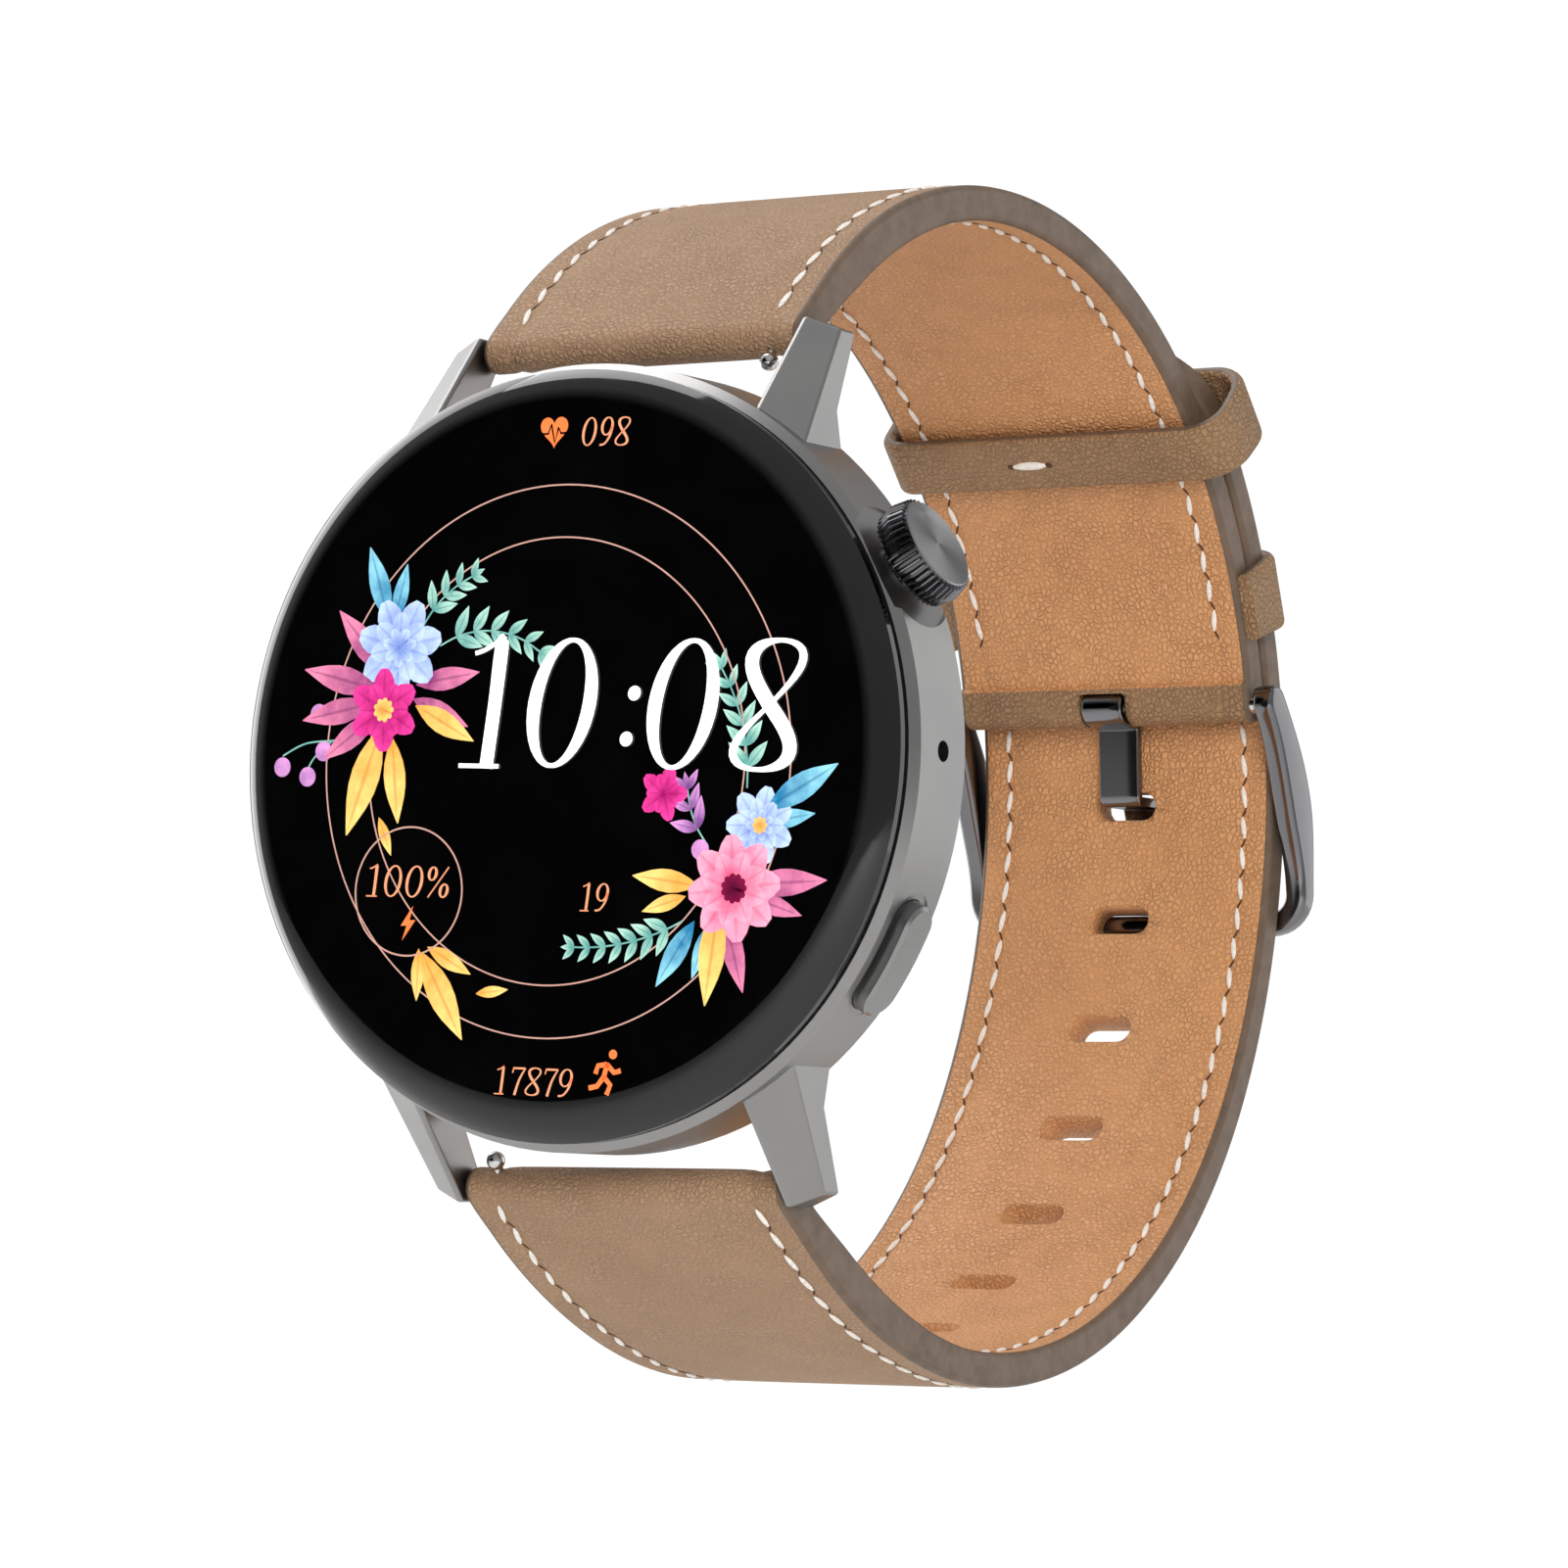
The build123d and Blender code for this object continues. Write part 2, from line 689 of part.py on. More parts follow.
def button_switch():
    place = spoke(button_angle, button_depth)
    top = button_stem_end - button_travel - 0.08
    base = place * Pos(0, 0, top - 0.7) * Box(2.6, 2 * button_stem_spread + 2, 0.6)
    for offset in (-1, 1):
        base += rod(place * Pos(0, offset * button_stem_spread, 0), 0.7, top - 0.5, top)
    return base


# ---- spring bars ----
# Built for the upper strap, knob on the crown's side; the lower one is the same bar turned end for end.
def bar_tube():
    tube = x_rod(bar_tube_radius, -tube_end, tube_end, bar_depth, bar_height)
    tube -= x_rod(bar_pin_radius + running_gap, -tube_end + 0.8, tube_end + 1, bar_depth, bar_height)
    window = Pos(knob_x - bar_pin_travel / 2, y_at(bar_depth - 0.5), bar_height - 0.9)
    return tube - window * Box(bar_pin_travel + 1.0, 1.3, 1.6)


def bar_fixed_pin():
    return x_rod(bar_pin_radius, -pin_reach, -tube_end, bar_depth, bar_height)


def bar_release_pin():
    pin = x_rod(bar_pin_radius, knob_x - 1.2, pin_reach, bar_depth, bar_height)
    root = (knob_x, y_at(bar_depth), bar_height)
    arm = Plane(origin=root, z_dir=(0, -knob_depth_reach, -knob_height_reach)).location
    pin += rod(arm, 0.3, 0, 1.6)
    knob = Pos(knob_x, y_at(bar_depth - knob_depth_reach), bar_height - knob_height_reach)
    return pin + knob * Sphere(knob_radius)


def bar_spring():
    end = knob_x - 1.2 - bar_pin_travel - 0.1
    spring = x_rod(bar_pin_radius - 0.05, -1.5, end, bar_depth, bar_height)
    return spring - x_rod(0.2, -3, 12, bar_depth, bar_height)


def lower_bar(part):
    return Rot(0, 180, 0) * part


# ---- strap ----
def hole_cuts():
    """The slots of the lower strap, one pitch apart, with the tongue's hole among them."""
    cuts = []
    for index in range(-holes_above, holes_below + 1):
        place = place_along(lower_arcs, tongue_hole_at - index * hole_pitch)
        cuts.append(extrude(place * SlotOverall(hole_length, hole_width), 3, both=True))
    return cuts


def tail_trim():
    """Two corner wedges taken off the tail so that it ends in a blunt point."""
    corners = []
    half = strap_width / 2
    for side in (1, -1):
        place = place_along(lower_arcs, lower_length)
        wide, narrow = side * half * 1.2, side * half * 0.35
        shape = Polyline((wide, 1.5), (narrow, 1.5), (wide, -tail_point_length), close=True)
        corners.append(extrude(place * make_face(shape), 4, both=True))
    return corners


def strap_upper_outer():
    roll = x_rod(roll_radius, -30, 30, bar_depth, bar_height)
    fold = band(trimmed(upper_arcs, 0, lining_start), lining_low, skin_high, 60)
    skin = band(upper_arcs, skin_low, skin_high, 60)
    buckle_roll = x_rod(buckle_roll_radius, -30, 30, *buckle_roll_centre)
    fold_start = upper_length - buckle_fold_length
    buckle_fold = band(trimmed(upper_arcs, fold_start, upper_length), lining_low, skin_high, 60)
    solid = (roll + fold + skin + buckle_roll + buckle_fold) & strap_plan()
    solid -= knob_notch(bar_height, 1)
    solid -= x_rod(bar_tube_radius + seat_gap, -30, 30, bar_depth, bar_height)
    solid -= x_rod(buckle_bar_radius + seat_gap, -30, 30, *pivot)
    room = tongue_width / 2 + tongue_slot_play
    slot = Box(2 * room, tongue_slot_depth, tongue_slot_height)
    slot = Pos(0, y_at(pivot[0]), pivot[1] - tongue_slot_drop) * slot
    return solid - slot - x_rod(tongue_curl_radius + running_gap, -room, room, *pivot)


def knob_notch(height, side):
    toward_middle = -1.3 if height > 0 else 1.3
    notch_x = side * (knob_x - bar_pin_travel / 2)
    return Pos(notch_x, y_at(bar_depth - 1.0), height + toward_middle) * Box(bar_pin_travel + 1.9, 2.8, 2.6)


def strap_upper_lining():
    line = trimmed(upper_arcs, lining_start, upper_length - buckle_fold_length)
    return band(line, lining_low, skin_low, 60) & strap_plan()


def strap_lower_outer():
    roll = x_rod(roll_radius, -30, 30, bar_depth, -bar_height)
    fold = band(trimmed(lower_arcs, 0, lining_start), lining_low, skin_high, 60)
    skin = band(lower_arcs, skin_low, skin_high, 60)
    solid = (roll + fold + skin) & strap_plan()
    solid -= knob_notch(-bar_height, -1)
    solid -= x_rod(bar_tube_radius + seat_gap, -30, 30, bar_depth, -bar_height)
    for cut in hole_cuts() + tail_trim():
        solid -= cut
    return solid


def strap_lower_lining():
    solid = band(trimmed(lower_arcs, lining_start, lower_length), lining_low, skin_low, 60) & strap_plan()
    for cut in hole_cuts() + tail_trim():
        solid -= cut
    return solid


# ---- keepers ----
def keeper_band(angle, width, low, high, inner_half):
    """A leather loop round the strap at an angle of the upper loop, between two radii."""
    half_turn = degrees(width / 2 / upper_loop_radius)
    outer_half = inner_half + keeper_thickness
    turn = (angle - half_turn, angle + half_turn)
    whole = [(upper_centre, 0, *turn)]
    loop = band(whole, low - keeper_thickness, high + keeper_thickness, 2 * outer_half)
    return loop - band([(upper_centre, 0, turn[0] - 2, turn[1] + 2)], low, high, 2 * inner_half)


def free_keeper():
    low = upper_loop_radius - skin_high - keeper_clearance
    high = tail_radius + skin_high + keeper_clearance
    inner_half = strap_width / 2 + keeper_clearance + keeper_slack / 2
    return Pos(keeper_slack / 2, 0, 0) * keeper_band(free_keeper_angle, free_keeper_width, low, high, inner_half)


def fixed_keeper():
    """Round the tail only: its ends lie along the upper strap's edges, sewn to them."""
    inner_half = strap_width / 2
    high = tail_radius + skin_high + keeper_clearance
    low = upper_loop_radius + lining_low
    loop = keeper_band(fixed_keeper_angle, fixed_keeper_width, low, high, inner_half)
    return loop - band([(upper_centre, 0, -30, 90)], low - 3, low, 60)


# ---- buckle ----
frame_inner_half = strap_width / 2 + buckle_side_gap
frame_outer_half = frame_inner_half + buckle_arm_thickness
cross_reach = run_up_radius + skin_high + buckle_rest_gap + buckle_wire_radius
pivot_reach = hypot(pivot[0] - run_up_centre[0], pivot[1] - run_up_centre[1])
cross_turn = (pivot_reach ** 2 + buckle_length ** 2 - cross_reach ** 2) / (2 * pivot_reach * buckle_length)
buckle_lean = angle_between(pivot, run_up_centre) + degrees(acos(cross_turn))
cross_place = polar(pivot, buckle_length, buckle_lean)
bulge = polar(pivot, buckle_bow_share * buckle_length, buckle_lean + buckle_bow_lean)


def buckle_frame():
    """A D-shaped frame: two bowed side arms and a round cross bar."""
    arm_width, belly = buckle_arm_half_width, buckle_belly_half_width
    outer = ThreePointArc(
        polar(pivot, arm_width, 60), polar(bulge, belly, 15), polar(cross_place, buckle_wire_radius, -20)
    )
    inner = ThreePointArc(
        polar(pivot, arm_width, -120), polar(bulge, belly, 195), polar(cross_place, buckle_wire_radius, 160)
    )
    edges = [outer, inner, Line(outer @ 0, inner @ 0), Line(outer @ 1, inner @ 1)]
    plate = side_plate(edges, 2 * frame_outer_half)
    plate += x_rod(arm_width, -frame_outer_half, frame_outer_half, *pivot)
    plate += x_rod(buckle_wire_radius, -frame_outer_half, frame_outer_half, *cross_place)
    plate -= side_plate_box(2 * frame_inner_half)
    bar = x_rod(buckle_wire_radius, -frame_inner_half - 0.3, frame_inner_half + 0.3, *cross_place)
    plate += bar
    plate -= x_rod(buckle_bar_radius + 0.03, -30, 30, *pivot)
    rest = Box(tongue_width + 2 * tongue_slot_play, tongue_rest_width, tongue_rest_height)
    rest = Pos(0, y_at(cross_place[0] + tongue_step + tongue_rest_width / 2), cross_place[1]) * rest
    return plate - rest


def side_plate_box(width):
    return Pos(0, y_at(pivot[0]), 0) * Box(width, 40, 60)


def buckle_bar():
    return x_rod(buckle_bar_radius, -frame_outer_half + 0.1, frame_outer_half - 0.1, *pivot)


def buckle_tongue():
    """A flat strip curled round the bar, stepped outwards through the strap hole and resting on the cross bar."""
    curl_inner = buckle_bar_radius + running_gap
    curl = x_rod(tongue_curl_radius, -tongue_width / 2, tongue_width / 2, *pivot)
    start = polar(pivot, tongue_curl_radius - tongue_thickness / 2, 262)
    height = tongue_hole_height + tongue_hole_play
    strip_x = cross_place[0] + tongue_step + tongue_thickness / 2 + running_gap
    neck_x = pivot[0] + tongue_neck_reach
    points = [start, (neck_x, pivot[1] - tongue_neck_drop), (neck_x + tongue_neck_lean, height)]
    points += [(strip_x - 0.5, height)]
    points += [(strip_x, height - 1.2), (strip_x, cross_place[1] - tongue_tip)]
    line = FilletPolyline(*points, radius=tongue_bend_radius)
    strip = side_plate(offset_strip(line), tongue_width)
    return curl + strip - x_rod(curl_inner, -30, 30, *pivot)


def offset_strip(line):
    outline = offset(line, tongue_thickness / 2, kind=Kind.ARC, side=Side.BOTH)
    return outline.edges()


# ---- the whole list ----
def upper_bar_pieces():
    return {
        "upper_bar_tube": bar_tube(),
        "upper_bar_fixed_pin": bar_fixed_pin(),
        "upper_release_pin": bar_release_pin(),
        "upper_bar_spring": bar_spring(),
    }


def build():
    makers = [
        cover_glass, glass_adhesive, display_panel, display_flex, case_body, inner_frame, battery,
        main_board, board_shields, haptic_motor_can, haptic_motor_shaft, haptic_rotor, speaker_module,
        microphone, microphone_mesh, sensor_board, sensor_leds, sensor_light_dam, sensor_window,
        back_cover, back_cover_gasket, back_cover_screws, charging_contacts,
        crown_head, crown_stem, crown_clip, crown_carrier, crown_tube, crown_seal, crown_switch,
        button_cap, button_stem, button_clip, button_seal, button_switch,
        strap_upper_outer, strap_upper_lining, strap_lower_outer, strap_lower_lining,
        fixed_keeper, free_keeper, buckle_frame, buckle_bar, buckle_tongue,
    ]
    nodes = {maker.__name__: maker() for maker in makers}
    upper = upper_bar_pieces()
    nodes.update(upper)
    nodes.update({name.replace("upper", "lower"): lower_bar(part) for name, part in upper.items()})
    return nodes


os.makedirs("parts", exist_ok=True)
for name, part in build().items():
    shape = Compound(children=list(part)) if isinstance(part, list) else part
    export_step(shape, f"parts/{name}.step")
print(len(os.listdir("parts")), "nodes")
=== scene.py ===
from math import acos, asin, atan2, cos, degrees, hypot, pi, radians, sin, sqrt

import bmesh
import bpy
from mathutils import Matrix, Vector


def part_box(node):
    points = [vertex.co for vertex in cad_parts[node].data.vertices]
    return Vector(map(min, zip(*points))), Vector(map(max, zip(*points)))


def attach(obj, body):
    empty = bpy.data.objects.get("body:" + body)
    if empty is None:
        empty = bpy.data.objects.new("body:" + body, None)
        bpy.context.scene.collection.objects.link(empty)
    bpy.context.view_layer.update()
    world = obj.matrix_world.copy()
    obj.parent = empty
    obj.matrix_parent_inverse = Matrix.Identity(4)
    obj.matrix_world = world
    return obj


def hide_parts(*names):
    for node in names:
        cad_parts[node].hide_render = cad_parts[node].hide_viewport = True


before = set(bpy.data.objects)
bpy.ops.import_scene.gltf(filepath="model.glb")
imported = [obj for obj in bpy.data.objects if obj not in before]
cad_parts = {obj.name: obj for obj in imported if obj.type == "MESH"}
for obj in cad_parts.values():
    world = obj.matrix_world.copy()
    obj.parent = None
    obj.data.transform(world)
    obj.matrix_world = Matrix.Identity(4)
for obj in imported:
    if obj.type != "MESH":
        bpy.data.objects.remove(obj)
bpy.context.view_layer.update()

# Looks for the smartwatch. Sizes are in millimetres and angles in degrees, turned into metres by MM.
# Depths are measured from the front of the glass towards the wrist; heights run up to 12 o'clock.
MM = 0.001
glass_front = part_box("cover_glass")[0].y
case_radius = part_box("case_body")[1].x / MM

strap_width_at_lugs = 21.7
strap_width = 21.3
strap_thickness = 2.1
half_thickness = strap_thickness / 2
bar_depth = 9.0
bar_height = 24.5
bar_inside_loop = 0.465
upper_loop_radius = 33.5
upper_loop_height = 1.8
upper_lead_angle = 110.0
lower_loop_extra = 0.65
lower_loop_depth_shift = 1.3
lower_loop_height = -0.6
lower_lead_angle = -105.0
run_up_bulge = 2.6
layer_gap = 0.4
tail_end_angle = 50.5
tail_point_length = 6.5
roll_radius = 1.2
lug_padding = 0.5
fold_back = 5.5
buckle_fold_back = 1.65

hole_pitch = 7.75
hole_length = 4.5
hole_width = 1.7
holes_below = 6
holes_above = 1
hole_ease = 0.1
tongue_hole_drop = 6.27

stitch_pitch = 2.05
stitch_length = 1.42
stitch_width = 0.36
stitch_height = 0.26
stitch_inset = 1.95
stitch_tilt = 9.0
stitch_sink = 0.1
crossing_tilt = -28

keeper_thickness = 0.85
keeper_clearance = 0.3
keeper_slack = 1.4
fixed_keeper_width = 4.5
fixed_keeper_angle = 21.5
free_keeper_width = 4.2
free_keeper_angle = 42.0

buckle_angle = 10.5
buckle_bar_inset = 0.5
buckle_length = 14.75
buckle_rest_gap = 0.12
buckle_bow_share = 0.55
buckle_bow_lean = 9.0
buckle_side_gap = 0.35
buckle_arm_thickness = 1.45
buckle_root_width = 2.3
buckle_belly_width = 3.0
buckle_wire = 1.5
tongue_width = 2.9
tongue_thickness = 0.65
tongue_curl_radius = 0.825
tongue_neck_reach = 1.6
tongue_neck_drop = 1.05
tongue_hole_play = 0.29
tongue_step = 0.4
tongue_tip = 1.4

crown_angle = 27.9
crown_depth = 5.0
crown_radius = 3.1
crown_height = 2.1
crown_face = case_radius + 2.34
crown_teeth = 44


# ---- places ----
def at(depth, height, x=0.0):
    return Vector((x * MM, glass_front + depth * MM, height * MM))


def polar(centre, radius, angle):
    return centre[0] + radius * cos(radians(angle)), centre[1] + radius * sin(radians(angle))


def eased(value):
    """A smooth step from 0 to 1."""
    value = min(max(value, 0.0), 1.0)
    return value * value * (3 - 2 * value)


def lead_in(centre, radius, join_angle, point):
    """The arc that passes through a point and runs on smoothly into a circle at join_angle."""
    u = (cos(radians(join_angle)), sin(radians(join_angle)))
    v = (point[0] - centre[0], point[1] - centre[1])
    reach = (v[0] ** 2 + v[1] ** 2 - radius ** 2) / (2 * (radius - v[0] * u[0] - v[1] * u[1]))
    middle = (centre[0] - reach * u[0], centre[1] - reach * u[1])
    start = degrees(atan2(point[1] - middle[1], point[0] - middle[0]))
    return middle, radius + reach, start, join_angle


def joining_circle(centre_a, radius_a, centre_b, radius_b, radius):
    """The centre of a circle that encloses two circles and touches both from outside."""
    reach_a, reach_b = radius - radius_a, radius - radius_b
    span = hypot(centre_b[0] - centre_a[0], centre_b[1] - centre_a[1])
    direction = atan2(centre_b[1] - centre_a[1], centre_b[0] - centre_a[0])
    turn = acos((reach_a ** 2 + span ** 2 - reach_b ** 2) / (2 * reach_a * span))
    return min(polar(centre_a, reach_a, degrees(direction + side * turn)) for side in (1, -1))


def angle_between(start, end):
    return degrees(atan2(end[1] - start[1], end[0] - start[0]))


def arc_length(arc):
    return arc[1] * radians(abs(arc[3] - arc[2]))


loop_rise = bar_height - upper_loop_height
loop_depth = bar_depth + sqrt((upper_loop_radius - bar_inside_loop) ** 2 - loop_rise ** 2)
lower_loop_radius = upper_loop_radius + lower_loop_extra
tail_radius = upper_loop_radius + strap_thickness + layer_gap
run_up_radius = tail_radius + run_up_bulge
upper_centre = (loop_depth, upper_loop_height)
lower_centre = (loop_depth + lower_loop_depth_shift, lower_loop_height)
run_up_centre = joining_circle(lower_centre, lower_loop_radius, upper_centre, tail_radius, run_up_radius)
run_up_start = angle_between(run_up_centre, lower_centre)
run_up_end = angle_between(run_up_centre, upper_centre)
pivot = polar(upper_centre, upper_loop_radius - buckle_bar_inset, buckle_angle)
cross_reach = run_up_radius + half_thickness + buckle_rest_gap + buckle_wire / 2
pivot_reach = hypot(pivot[0] - run_up_centre[0], pivot[1] - run_up_centre[1])
cross_turn = (pivot_reach ** 2 + buckle_length ** 2 - cross_reach ** 2) / (2 * pivot_reach * buckle_length)
buckle_lean = angle_between(pivot, run_up_centre) + degrees(acos(cross_turn))
cross_bar = polar(pivot, buckle_length, buckle_lean)
buckle_bow = polar(pivot, buckle_bow_share * buckle_length, buckle_lean + buckle_bow_lean)

# The middle of the strap's thickness, as arcs (centre, radius, start angle, end angle) in (depth, height).
upper_line = [
    lead_in(upper_centre, upper_loop_radius, upper_lead_angle, (bar_depth, bar_height)),
    (upper_centre, upper_loop_radius, upper_lead_angle, buckle_angle),
]
lower_line = [
    lead_in(lower_centre, lower_loop_radius, lower_lead_angle, (bar_depth, -bar_height)),
    (lower_centre, lower_loop_radius, lower_lead_angle, run_up_start),
    (run_up_centre, run_up_radius, run_up_start, run_up_end),
    (upper_centre, tail_radius, run_up_end, tail_end_angle),
]
upper_length = sum(arc_length(arc) for arc in upper_line)
lower_length = sum(arc_length(arc) for arc in lower_line)
tongue_hole_height = pivot[1] - tongue_hole_drop
tongue_hole_rise = degrees(asin((tongue_hole_height - run_up_centre[1]) / run_up_radius))
tongue_hole_at = arc_length(lower_line[0]) + arc_length(lower_line[1])
tongue_hole_at += run_up_radius * radians(tongue_hole_rise - run_up_start)


def line_place(line, distance):
    """Centre, radius, angle and turning sense of a strap's line at a distance from its start."""
    for index, arc in enumerate(line):
        centre, radius, first, last = arc
        length = arc_length(arc)
        if distance <= length or index == len(line) - 1:
            return centre, radius, first + (last - first) * distance / length, 1 if last > first else -1
        distance -= length


def on_line(line, distance, offset, x=0.0):
    centre, radius, angle, _ = line_place(line, distance)
    return at(*polar(centre, radius + offset, angle), x)


def line_axes(line, distance):
    """The directions along the strap and out of its outer face."""
    _, _, angle, sense = line_place(line, distance)
    out = Vector((0, cos(radians(angle)), sin(radians(angle))))
    return Vector((0, -out.z, out.y)) * sense, out


# ---- meshes ----
def mesh_piece(name, points, faces, finishes, finish_of=None, uvs=None, sharp=38.0):
    """A shown mesh; finish_of gives each face's finish and uvs each point's place on the surface."""
    mesh = bpy.data.meshes.new(name)
    mesh.from_pydata([tuple(p) for p in points], [], faces)
    for finish in finishes:
        mesh.materials.append(finish)
    if finish_of:
        mesh.polygons.foreach_set("material_index", finish_of)
    if uvs:
        layer = mesh.uv_layers.new(name="UVMap")
        for loop in mesh.loops:
            layer.data[loop.index].uv = uvs[loop.vertex_index]
    mesh.validate()
    mesh.shade_smooth()
    mesh.set_sharp_from_angle(angle=radians(sharp))
    piece = bpy.data.objects.new(name, mesh)
    bpy.context.scene.collection.objects.link(piece)
    return piece


def as_plain_mesh(piece):
    """The piece with its modifiers worked into its mesh."""
    bpy.context.view_layer.update()
    evaluated = piece.evaluated_get(bpy.context.evaluated_depsgraph_get())
    mesh = bpy.data.meshes.new_from_object(evaluated)
    piece.modifiers.clear()
    piece.data = mesh
    mesh.name = piece.name
    return piece


def discard(piece):
    bpy.data.objects.remove(piece)


def tube_faces(stations, around, closed):
    """Quads of a tube of points given station by station, with its two ends capped if it is open."""
    faces = []
    for i in range(stations if closed else stations - 1):
        a, b = i * around, (i + 1) % stations * around
        for j in range(around):
            k = (j + 1) % around
            faces.append((a + j, a + k, b + k, b + j))
    if not closed:
        faces.append(tuple(reversed(range(around))))
        faces.append(tuple(range((stations - 1) * around, stations * around)))
    return faces


def outward(piece):
    """Faces turned outwards."""
    work = bmesh.new()
    work.from_mesh(piece.data)
    bmesh.ops.remove_doubles(work, verts=work.verts, dist=0.0005 * MM)
    bmesh.ops.recalc_face_normals(work, faces=work.faces)
    work.to_mesh(piece.data)
    work.free()
    return piece


def rounded_outline(half_a, half_b, radius, steps=4):
    """A rectangle with round corners, anticlockwise."""
    radius = min(radius, half_a, half_b)
    points = []
    for corner in range(4):
        sign_a, sign_b = (1, 1, -1, -1)[corner], (-1, 1, 1, -1)[corner]
        for step in range(steps + 1):
            turn = radians(-90 + 90 * corner + 90 * step / steps)
            a = sign_a * (half_a - radius) + radius * cos(turn)
            points.append((a, sign_b * (half_b - radius) + radius * sin(turn)))
    return points


# ---- repeated units ----
def units_on_seats():
    """Puts one unit on every seat, turned to the seat's own directions, as real geometry."""
    tree = bpy.data.node_groups.new("units_on_seats", "GeometryNodeTree")
    sockets = (("Seats", "Geometry"), ("Unit", "Object"), ("Length", "Float"), ("Width", "Float"))
    sockets += (("Height", "Float"), ("Finish", "Material"))
    for name, kind in sockets:
        tree.interface.new_socket(name, in_out="INPUT", socket_type="NodeSocket" + kind)
    tree.interface.new_socket("Pieces", in_out="OUTPUT", socket_type="NodeSocketGeometry")
    node, link = tree.nodes.new, tree.links.new
    given, made = node("NodeGroupInput"), node("NodeGroupOutput")
    unit = node("GeometryNodeObjectInfo")
    unit.inputs["As Instance"].default_value = True
    put = node("GeometryNodeInstanceOnPoints")
    read = {}
    for name, kind in (("up", "FLOAT_VECTOR"), ("along", "FLOAT_VECTOR"), ("size", "FLOAT")):
        read[name] = node("GeometryNodeInputNamedAttribute")
        read[name].data_type = kind
        read[name].inputs["Name"].default_value = name
    stand, face = node("FunctionNodeAlignRotationToVector"), node("FunctionNodeAlignRotationToVector")
    stand.axis, face.axis, face.pivot_axis = "Z", "X", "Z"
    sizes, scale = node("ShaderNodeCombineXYZ"), node("ShaderNodeVectorMath")
    scale.operation = "SCALE"
    real, paint = node("GeometryNodeRealizeInstances"), node("GeometryNodeSetMaterial")
    link(given.outputs["Unit"], unit.inputs["Object"])
    link(given.outputs["Seats"], put.inputs["Points"])
    link(unit.outputs["Geometry"], put.inputs["Instance"])
    link(read["up"].outputs["Attribute"], stand.inputs["Vector"])
    link(stand.outputs["Rotation"], face.inputs["Rotation"])
    link(read["along"].outputs["Attribute"], face.inputs["Vector"])
    link(face.outputs["Rotation"], put.inputs["Rotation"])
    for axis, name in zip("XYZ", ("Length", "Width", "Height")):
        link(given.outputs[name], sizes.inputs[axis])
    link(sizes.outputs["Vector"], scale.inputs[0])
    link(read["size"].outputs["Attribute"], scale.inputs["Scale"])
    link(scale.outputs["Vector"], put.inputs["Scale"])
    link(put.outputs["Instances"], real.inputs["Geometry"])
    link(real.outputs["Geometry"], paint.inputs["Geometry"])
    link(given.outputs["Finish"], paint.inputs["Material"])
    link(paint.outputs["Geometry"], made.inputs["Pieces"])
    return tree


def repeated(name, seats, unit, finish, length, width, height):
    """One mesh of a unit on many seats. A seat is (place, direction along, direction up, size)."""
    tree = bpy.data.node_groups.get("units_on_seats") or units_on_seats()
    mesh = bpy.data.meshes.new(name)
    mesh.from_pydata([tuple(seat[0]) for seat in seats], [], [])
    for index, attribute in ((1, "along"), (2, "up")):
        layer = mesh.attributes.new(attribute, "FLOAT_VECTOR", "POINT")
        layer.data.foreach_set("vector", [value for seat in seats for value in seat[index]])
    mesh.attributes.new("size", "FLOAT", "POINT").data.foreach_set("value", [seat[3] for seat in seats])
    piece = bpy.data.objects.new(name, mesh)
    bpy.context.scene.collection.objects.link(piece)
    modifier = piece.modifiers.new("units", "NODES")
    modifier.node_group = tree
    values = {"Unit": unit, "Finish": finish}
    values.update({"Length": length * MM, "Width": width * MM, "Height": height * MM})
    for socket in tree.interface.items_tree:
        if socket.name in values:
            modifier[socket.identifier] = values[socket.name]
    return as_plain_mesh(piece)


def bead_unit(name, around=8, rings=4):
    """A small closed bead, one across, for threads and for the dark beads painted as shade in stitch holes.
    """
    points = [(-0.5, 0, 0)]
    for ring in range(1, rings):
        turn = pi * ring / rings
        for step in range(around):
            side = 2 * pi * step / around
            points.append((-0.5 * cos(turn), 0.5 * sin(turn) * cos(side), 0.5 * sin(turn) * sin(side)))
    points.append((0.5, 0, 0))
    faces = [(0, 1 + (step + 1) % around, 1 + step) for step in range(around)]
    for ring in range(rings - 2):
        a, b = 1 + ring * around, 1 + (ring + 1) * around
        for step in range(around):
            k = (step + 1) % around
            faces.append((a + step, a + k, b + k, b + step))
    last, end = 1 + (rings - 2) * around, len(points) - 1
    faces += [(last + step, last + (step + 1) % around, end) for step in range(around)]
    return outward(mesh_piece(name, points, faces, []))


def thread_unit(name, around=8, stations=5):
    """A short pull of thread: a tube with pinched ends, one long and one across."""
    points, shrink = [], (0.35, 0.92, 1.0, 0.92, 0.35)
    for station in range(stations):
        run = station / (stations - 1) - 0.5
        for step in range(around):
            side = 2 * pi * step / around
            ring = 0.5 * shrink[station]
            points.append((run, ring * cos(side), ring * sin(side)))
    return outward(mesh_piece(name, points, tube_faces(stations, around, False), []))


def slot_unit(name, steps=8):
    """A prism with round ends: one long, one wide and one high."""
    share = hole_width / hole_length
    outline = []
    for side in (1, -1):
        for step in range(steps + 1):
            turn = radians(-90 + 180 * step / steps)
            outline.append((side * ((1 - share) / 2 + share / 2 * cos(turn)), side * sin(turn) / 2))
    points = [(a, b, level) for level in (-0.5, 0.5) for a, b in outline]
    return outward(mesh_piece(name, points, tube_faces(2, len(outline), False), []))


